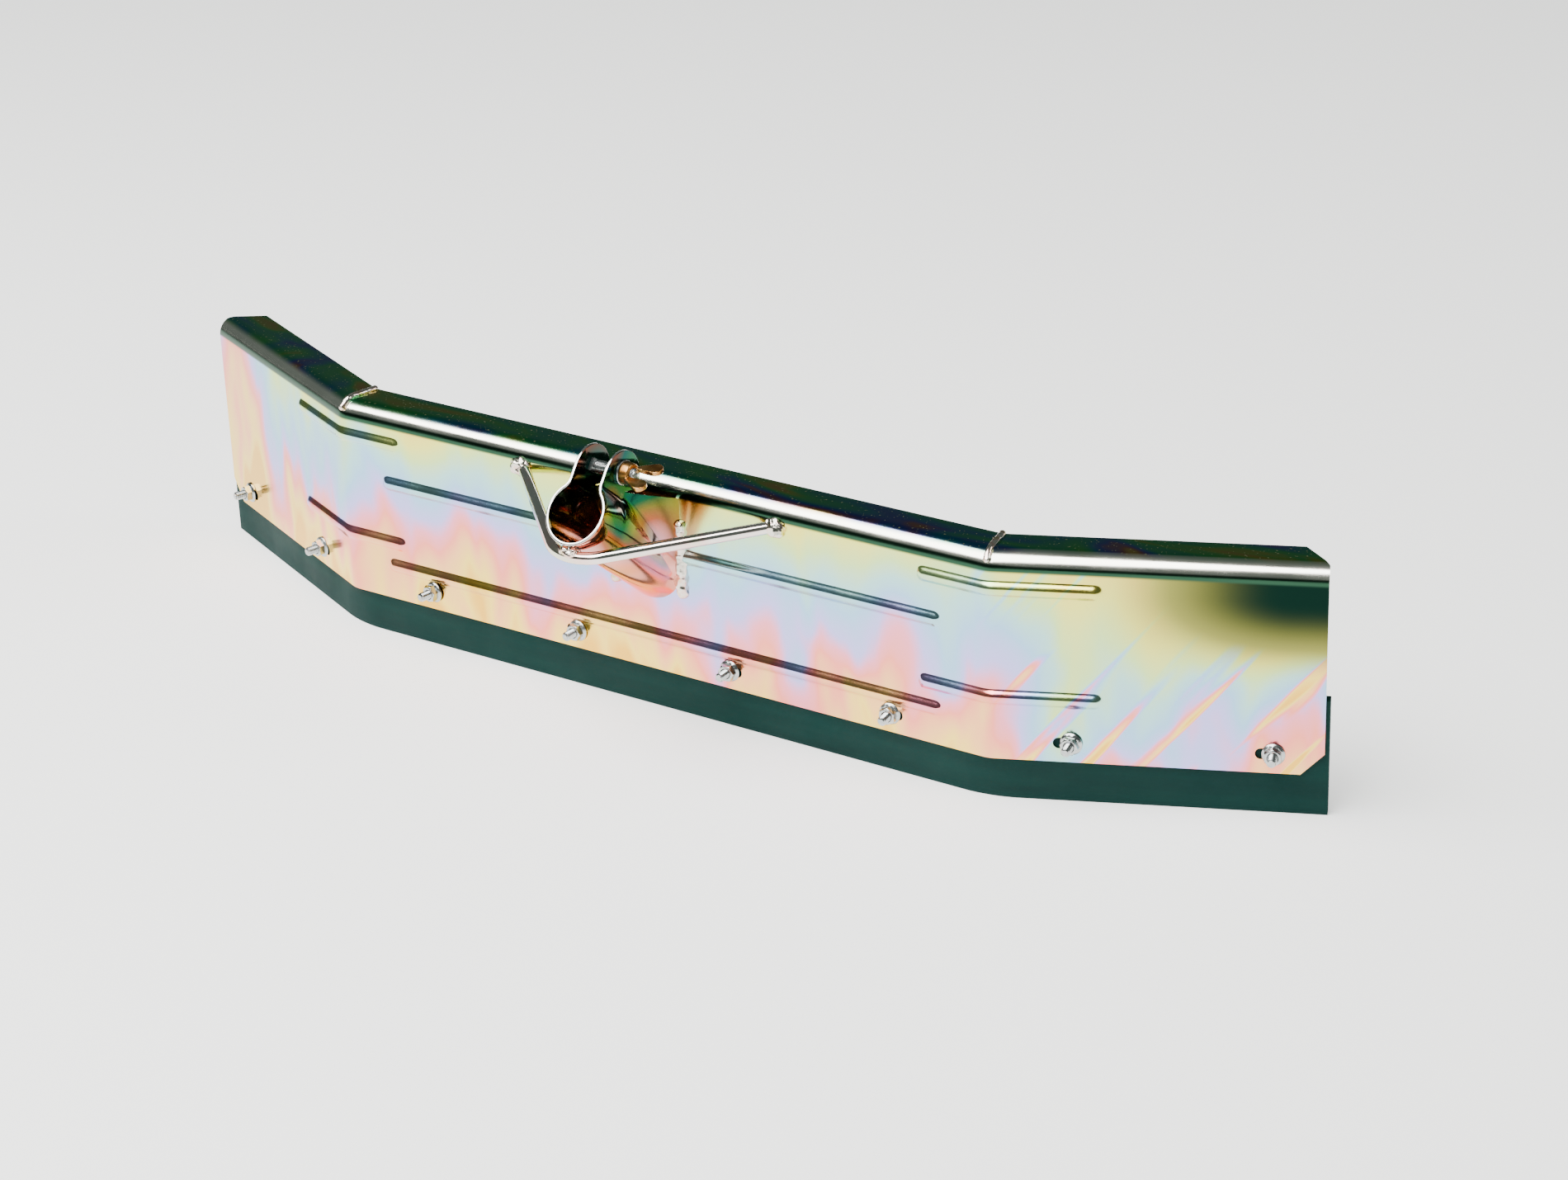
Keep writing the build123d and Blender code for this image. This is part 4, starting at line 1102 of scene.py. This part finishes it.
def wing_outline(sizes):
    """Outline of one wing: out from the bolt's axis, and up from the hub's base."""
    # the root stands inside the hub's wall, from 1 mm over its base to 5.5 mm
    root = [(x * MM, z * MM) for x in (4.6, 5.0) for z in (1.0, 5.5)]
    return hull(root + arc((sizes.tip_out, sizes.tip_up), sizes.tip_r, 0, 2 * pi, 33)[:-1])


def make_wing_nut(sizes, clamp):
    """Forged wing nut: a tapered hub and two wings that melt into it, bored for the bolt."""
    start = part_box("wing_nut")[0].x
    frame_at = bolt_frame(clamp, start)
    turn = Matrix.Rotation(-sizes.clock, 4, "Z")
    base, top, soft = sizes.hub_base / 2, sizes.hub_top / 2, 0.7 * MM
    hub = [(0, 0), (base - 0.4 * MM, 0), (base, 0.4 * MM)]
    hub += [(top + 0.1 * MM, sizes.hub - soft), (top - soft * 0.3, sizes.hub - soft * 0.3),
            (top - soft, sizes.hub), (0, sizes.hub)]
    shapes = [turned(hub, 64, place=frame_at)]
    for half_turn in (0, pi):
        local = frame_at @ turn @ Matrix.Rotation(half_turn, 4, "Z")
        ways = [local.to_3x3() @ Vector(v) for v in ((0, 1, 0), (0, 0, 1), (1, 0, 0))]
        shapes.append(prism(wing_outline(sizes), local.translation, *ways, sizes.wing / 2))
    nut = mesh_object("forged_wing_nut", *joined(shapes))
    remesh = nut.modifiers.new("melt", "REMESH")
    remesh.mode, remesh.voxel_size, remesh.adaptivity = "VOXEL", 0.3 * MM, 0.0
    ease = nut.modifiers.new("ease", "SMOOTH")
    ease.factor, ease.iterations = 0.5, 7
    apply_modifiers(nut)
    bore = drill(sizes.thread / 2 + THREAD_PLAY, 9 * MM, 64, frame_at)
    boolean(nut, mesh_object("nut_bore", *bore), "DIFFERENCE")
    return soften(nut, 40)


# ---- brace rod and welds ----

def rod_line(rod, clamp):
    """Path of the rod: left foot, the bend under the clamp, right foot."""
    rim, out, up = axes(clamp)
    r = rod.diameter / 2
    under = rim - out * rod.back - up * (clamp.bore + clamp.sheet + rod.gap + r)
    feet = centre("brace_weld_right")
    middle = Vector((0, NEAR_Y, feet.z))
    aside = feet.x - 1.5 * MM              # the weld's middle lies a little outside the rod's
    way = under - middle
    to_centre = way.length - rod.bend_r
    lean = pi - atan2(aside, to_centre) - acos(rod.bend_r / hypot(aside, to_centre))
    way.normalize()
    bend = middle + way * to_centre
    points = [middle + Vector((-aside, 0, 0))]
    for a in np.linspace(-lean, lean, 41):
        points.append(bend + (way * cos(a) + Vector((1, 0, 0)) * sin(a)) * rod.bend_r)
    return points + [middle + Vector((aside, 0, 0))], way.cross(Vector((1, 0, 0)))


def make_rod(rod, clamp):
    """The bent rod, its two ends cut to lie against the blade."""
    path, side = rod_line(rod, clamp)
    segments, sunk = 40, 0.3 * MM
    points, faces = tube(path, rod.diameter / 2, side, segments, flat_ends=True)
    for first, way in ((0, path[1] - path[0]), (len(points) - segments, path[-2] - path[-1])):
        for i in range(first, first + segments):
            points[i] = points[i] - way * ((points[i].y - NEAR_Y - sunk) / way.y)
    return soften(mesh_object("bent_brace_rod", points, faces), 40)


def seam_path(sizes, side):
    """Line of the weld over the mitre: round most of the fold, then along the flange."""
    half = sizes.wing_angle / 2
    across, stretch = Vector((-side * sin(half), cos(half), 0)), 1 / cos(half)
    corner = Vector((side * sizes.centre_half, NEAR_Y, 0))
    r, top = sizes.fold_r, BLADE_HIGH.z
    proud, start, end = r + SEAM_PROUD, radians(35), sizes.flange - 1.2 * MM
    line = [((r - proud * cos(a)) * stretch, top - r + proud * sin(a))
            for a in np.linspace(start, pi / 2, 14)]
    line += [(d * stretch, top + SEAM_PROUD) for d in np.linspace(r, end, 22)[1:]]
    path = [corner + across * d + Vector((0, 0, z)) for d, z in line]
    return path, across.cross(Vector((0, 0, 1)))


def held_back(shape):
    """The shape with nothing past the middle of the blade's sheet, which a rib brings forward."""
    points, blade = [], bpy.context.scene.scraper_blade
    for p in shape[0]:
        relief = float(rib_relief(blade, p.x, p.z - BLADE_LOW.z))
        points.append(Vector((p.x, min(p.y, NEAR_Y + WELD_DEPTH - relief), p.z)))
    return points, shape[1]


def make_welds(material):
    """Every bead and blob of weld, each in place of its CAD node."""
    scene = bpy.context.scene
    blade, clamp, rod = scene.scraper_blade, scene.scraper_clamp, scene.scraper_rod
    rim, out, up = axes(clamp)
    inset = 3.5 * MM                       # from a clamp weld's end to its middle line's
    welds = {}
    for side, word in ((-1, "left"), (1, "right")):
        path, square = seam_path(blade, side)
        welds[f"mitre_weld_{word}"] = f"flange_weld_{word}", tube(
            path, 2.3 * MM, square, 28, ripple=0.10, rough=0.16, seed=side + 3)
        low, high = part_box(f"clamp_weld_{word}")
        x = side * (clamp.bore + clamp.sheet + clamp.flare)
        line = [(x, NEAR_Y, z) for z in np.linspace(low.z + inset, high.z - inset, 30)]
        welds[f"flank_weld_{word}"] = f"clamp_weld_{word}", held_back(tube(
            line, 4.1 * MM, Vector((0, 1, 0)), 36, ripple=0.13, rough=0.34, seed=side + 7))
        middle = centre(f"brace_weld_{word}")
        middle.y = NEAR_Y - 0.5 * MM
        welds[f"rod_weld_{word}"] = f"brace_weld_{word}", held_back(blob(
            middle, 7.6 * MM, 5.2 * MM, 6.8 * MM, side * 2.0 + 9))
    seat = rim - out * rod.back - up * (clamp.bore + clamp.sheet)
    welds["rod_weld_front"] = "brace_weld_front", blob(
        seat + out * 2 * MM - up * 1.2 * MM, 7.0 * MM, 5.4 * MM, 4.6 * MM, 5.0)
    for name, (node, shape) in welds.items():
        finish_piece(soften(mesh_object(name, *shape), 60), material, "weld_metal", node)


# ---- stage ----

# name: place, aim, width and height in metres, power in watts
SOFTBOXES = {"overhead_softbox": ((-0.5, -1.22, 2.35), (0, 0, 0.1), 3.4, 2.1, 240),
             "side_softbox": ((2.6, 1.2, 1.8), (0, 0, 0.1), 1.2, 1.2, 30)}
FLOOR_HALF = 30.0       # metres
FLOOR_GLOW = 0.8        # lifts the floor to a plain studio white
SURROUND = "#5C6462"    # the dim room that the metal mirrors


def make_stage(sizes):
    """Pale floor, soft lights and the camera."""
    scene = bpy.context.scene
    corners = [(x * FLOOR_HALF, y * FLOOR_HALF, 0)
               for x, y in ((-1, -1), (1, -1), (1, 1), (-1, 1))]
    floor = mesh_object("studio_floor", corners, [(0, 1, 2, 3)], smooth=False)
    material, _, shader, _ = start_material("pale_studio_floor")
    shader.inputs["Base Color"].default_value = tuple(sizes.floor)
    shader.inputs["Roughness"].default_value = 0.9
    shader.inputs["Specular IOR Level"].default_value = 0.1
    shader.inputs["Emission Color"].default_value = tuple(sizes.floor)
    shader.inputs["Emission Strength"].default_value = FLOOR_GLOW
    floor.data.materials.append(material)
    for name, (place, aim, width, height, power) in SOFTBOXES.items():
        light = bpy.data.lights.new(name, "AREA")
        light.shape, light.size, light.size_y, light.energy = "RECTANGLE", width, height, power
        lamp = bpy.data.objects.new(name, light)
        lamp.location = place
        lamp.rotation_euler = (Vector(aim) - Vector(place)).to_track_quat("-Z", "Y").to_euler()
        scene.collection.objects.link(lamp)
    world = bpy.data.worlds.new("studio_world")
    world.use_nodes = True
    tree = world.node_tree
    tree.nodes.clear()
    room = add(tree, "ShaderNodeBackground", {"Color": SURROUND, "Strength": 1.0})
    add(tree, "ShaderNodeOutputWorld", {"Surface": room.outputs[0]})
    scene.world = world
    a, e, r = sizes.azimuth, sizes.elevation, sizes.roll
    back_way = Vector((sin(a) * cos(e), -cos(a) * cos(e), sin(e)))
    right = (-back_way).cross(Vector((0, 0, 1))).normalized()
    up = right.cross(-back_way)
    turned_right, turned_up = right * cos(r) + up * sin(r), up * cos(r) - right * sin(r)
    camera = bpy.data.objects.new("camera", bpy.data.cameras.new("camera"))
    camera.data.lens = sizes.lens
    camera.data.sensor_width = 36
    stand = Matrix.Translation(Vector(sizes.target) + back_way * sizes.distance)
    facing = Matrix((turned_right, turned_up, back_way)).transposed().to_4x4()
    camera.matrix_world = stand @ facing
    camera.data.clip_end = 100
    scene.collection.objects.link(camera)
    scene.camera = camera


class SCRAPER_OT_stage(bpy.types.Operator):
    """Build the floor, the lights and the camera"""
    bl_idname = "scraper.stage"
    bl_label = "Stage"

    def execute(self, context):
        make_stage(context.scene.scraper_stage)
        return {"FINISHED"}


class SCRAPER_OT_blade(bpy.types.Operator):
    """Build the folded steel blade"""
    bl_idname = "scraper.blade"
    bl_label = "Blade"

    def execute(self, context):
        sizes = context.scene.scraper_blade
        blade = make_blade(sizes)
        boolean(blade, cutters(sizes, context.scene.scraper_fasteners), "DIFFERENCE")
        mark_edge_highlights(blade.data, blade_edge)
        finish_piece(soften(blade), make_chromate_sheet(), "chromated_steel", "blade")
        return {"FINISHED"}


class SCRAPER_OT_lip(bpy.types.Operator):
    """Build the rubber lip"""
    bl_idname = "scraper.lip"
    bl_label = "Rubber lip"

    def execute(self, context):
        make_lip(context.scene.scraper_lip)
        return {"FINISHED"}


class SCRAPER_OT_fasteners(bpy.types.Operator):
    """Build the rows of lip bolts, washers and flange nuts"""
    bl_idname = "scraper.fasteners"
    bl_label = "Lip fasteners"

    def execute(self, context):
        make_fastener_rows(context.scene.scraper_fasteners)
        return {"FINISHED"}


class SCRAPER_OT_clamp(bpy.types.Operator):
    """Build the pressed pole clamp"""
    bl_idname = "scraper.clamp"
    bl_label = "Pole clamp"

    def execute(self, context):
        film = make_bronze_film("bronze_chromated_pressing", BRONZE_TONES, 46 * MM, (0.07, 0.13),
                                (100 * MM, 190 * MM))
        clamp = make_clamp(context.scene.scraper_clamp)
        finish_piece(clamp, film, "chromated_steel", "pole_clamp")
        return {"FINISHED"}


class SCRAPER_OT_nut(bpy.types.Operator):
    """Build the carriage bolt, its washer and the wing nut"""
    bl_idname = "scraper.nut"
    bl_label = "Clamp bolt and wing nut"

    def execute(self, context):
        sizes, clamp = context.scene.scraper_nut, context.scene.scraper_clamp
        zinc = make_zinc("zinc_plated_clamp_bolt", context.scene.scraper_fasteners.tint)
        bronze = make_bronze_film("bronze_chromated_forging", NUT_TONES, 12 * MM, (0.18, 0.34))
        finish_piece(make_clamp_bolt(sizes, clamp), zinc, "chromated_steel", "clamp_bolt")
        finish_piece(make_nut_washer(sizes, clamp), zinc, "chromated_steel", "wing_nut_washer",
                     body="nut_carrier")
        finish_piece(make_wing_nut(sizes, clamp), bronze, "chromated_steel", "wing_nut",
                     body="wing_nut")
        return {"FINISHED"}


class SCRAPER_OT_brace(bpy.types.Operator):
    """Build the brace rod and all the welds"""
    bl_idname = "scraper.brace"
    bl_label = "Brace rod and welds"

    def execute(self, context):
        scene = context.scene
        rod_metal = make_bronze_film("pale_chromated_rod", ROD_TONES, 30 * MM, (0.06, 0.12))
        rod = make_rod(scene.scraper_rod, scene.scraper_clamp)
        finish_piece(rod, rod_metal, "chromated_steel", "brace_rod")
        make_welds(make_weld_metal())
        return {"FINISHED"}


OPERATORS = (SCRAPER_OT_stage, SCRAPER_OT_blade, SCRAPER_OT_lip, SCRAPER_OT_fasteners,
             SCRAPER_OT_clamp, SCRAPER_OT_nut, SCRAPER_OT_brace)


class SCRAPER_PT_panel(bpy.types.Panel):
    """Lists the operators that build the scraper head"""
    bl_idname = "SCRAPER_PT_panel"
    bl_label = "Scraper head"
    bl_space_type = "VIEW_3D"
    bl_region_type = "UI"
    bl_category = "Scraper"

    def draw(self, context):
        for operator in OPERATORS:
            self.layout.operator(operator.bl_idname)


GROUPS = {"scraper_blade": BladeSizes, "scraper_lip": LipSizes, "scraper_fasteners": FastenerSizes,
          "scraper_clamp": ClampSizes, "scraper_rod": RodSizes, "scraper_nut": NutSizes,
          "scraper_stage": StageSizes}


def register():
    """Registers the sizes, the operators and the panel."""
    for group in GROUPS.values():
        bpy.utils.register_class(group)
    for name, group in GROUPS.items():
        setattr(bpy.types.Scene, name, PointerProperty(type=group))
    for made in (*OPERATORS, SCRAPER_PT_panel):
        bpy.utils.register_class(made)


def unregister():
    """Takes back what register did."""
    for made in (SCRAPER_PT_panel, *reversed(OPERATORS)):
        bpy.utils.unregister_class(made)
    for name, group in GROUPS.items():
        delattr(bpy.types.Scene, name)
        bpy.utils.unregister_class(group)


def main():
    """Builds every piece."""
    register()
    bpy.ops.scraper.stage()
    for build in (bpy.ops.scraper.blade, bpy.ops.scraper.lip, bpy.ops.scraper.fasteners,
                  bpy.ops.scraper.clamp, bpy.ops.scraper.nut, bpy.ops.scraper.brace):
        build()


if __name__ == "__main__":
    main()
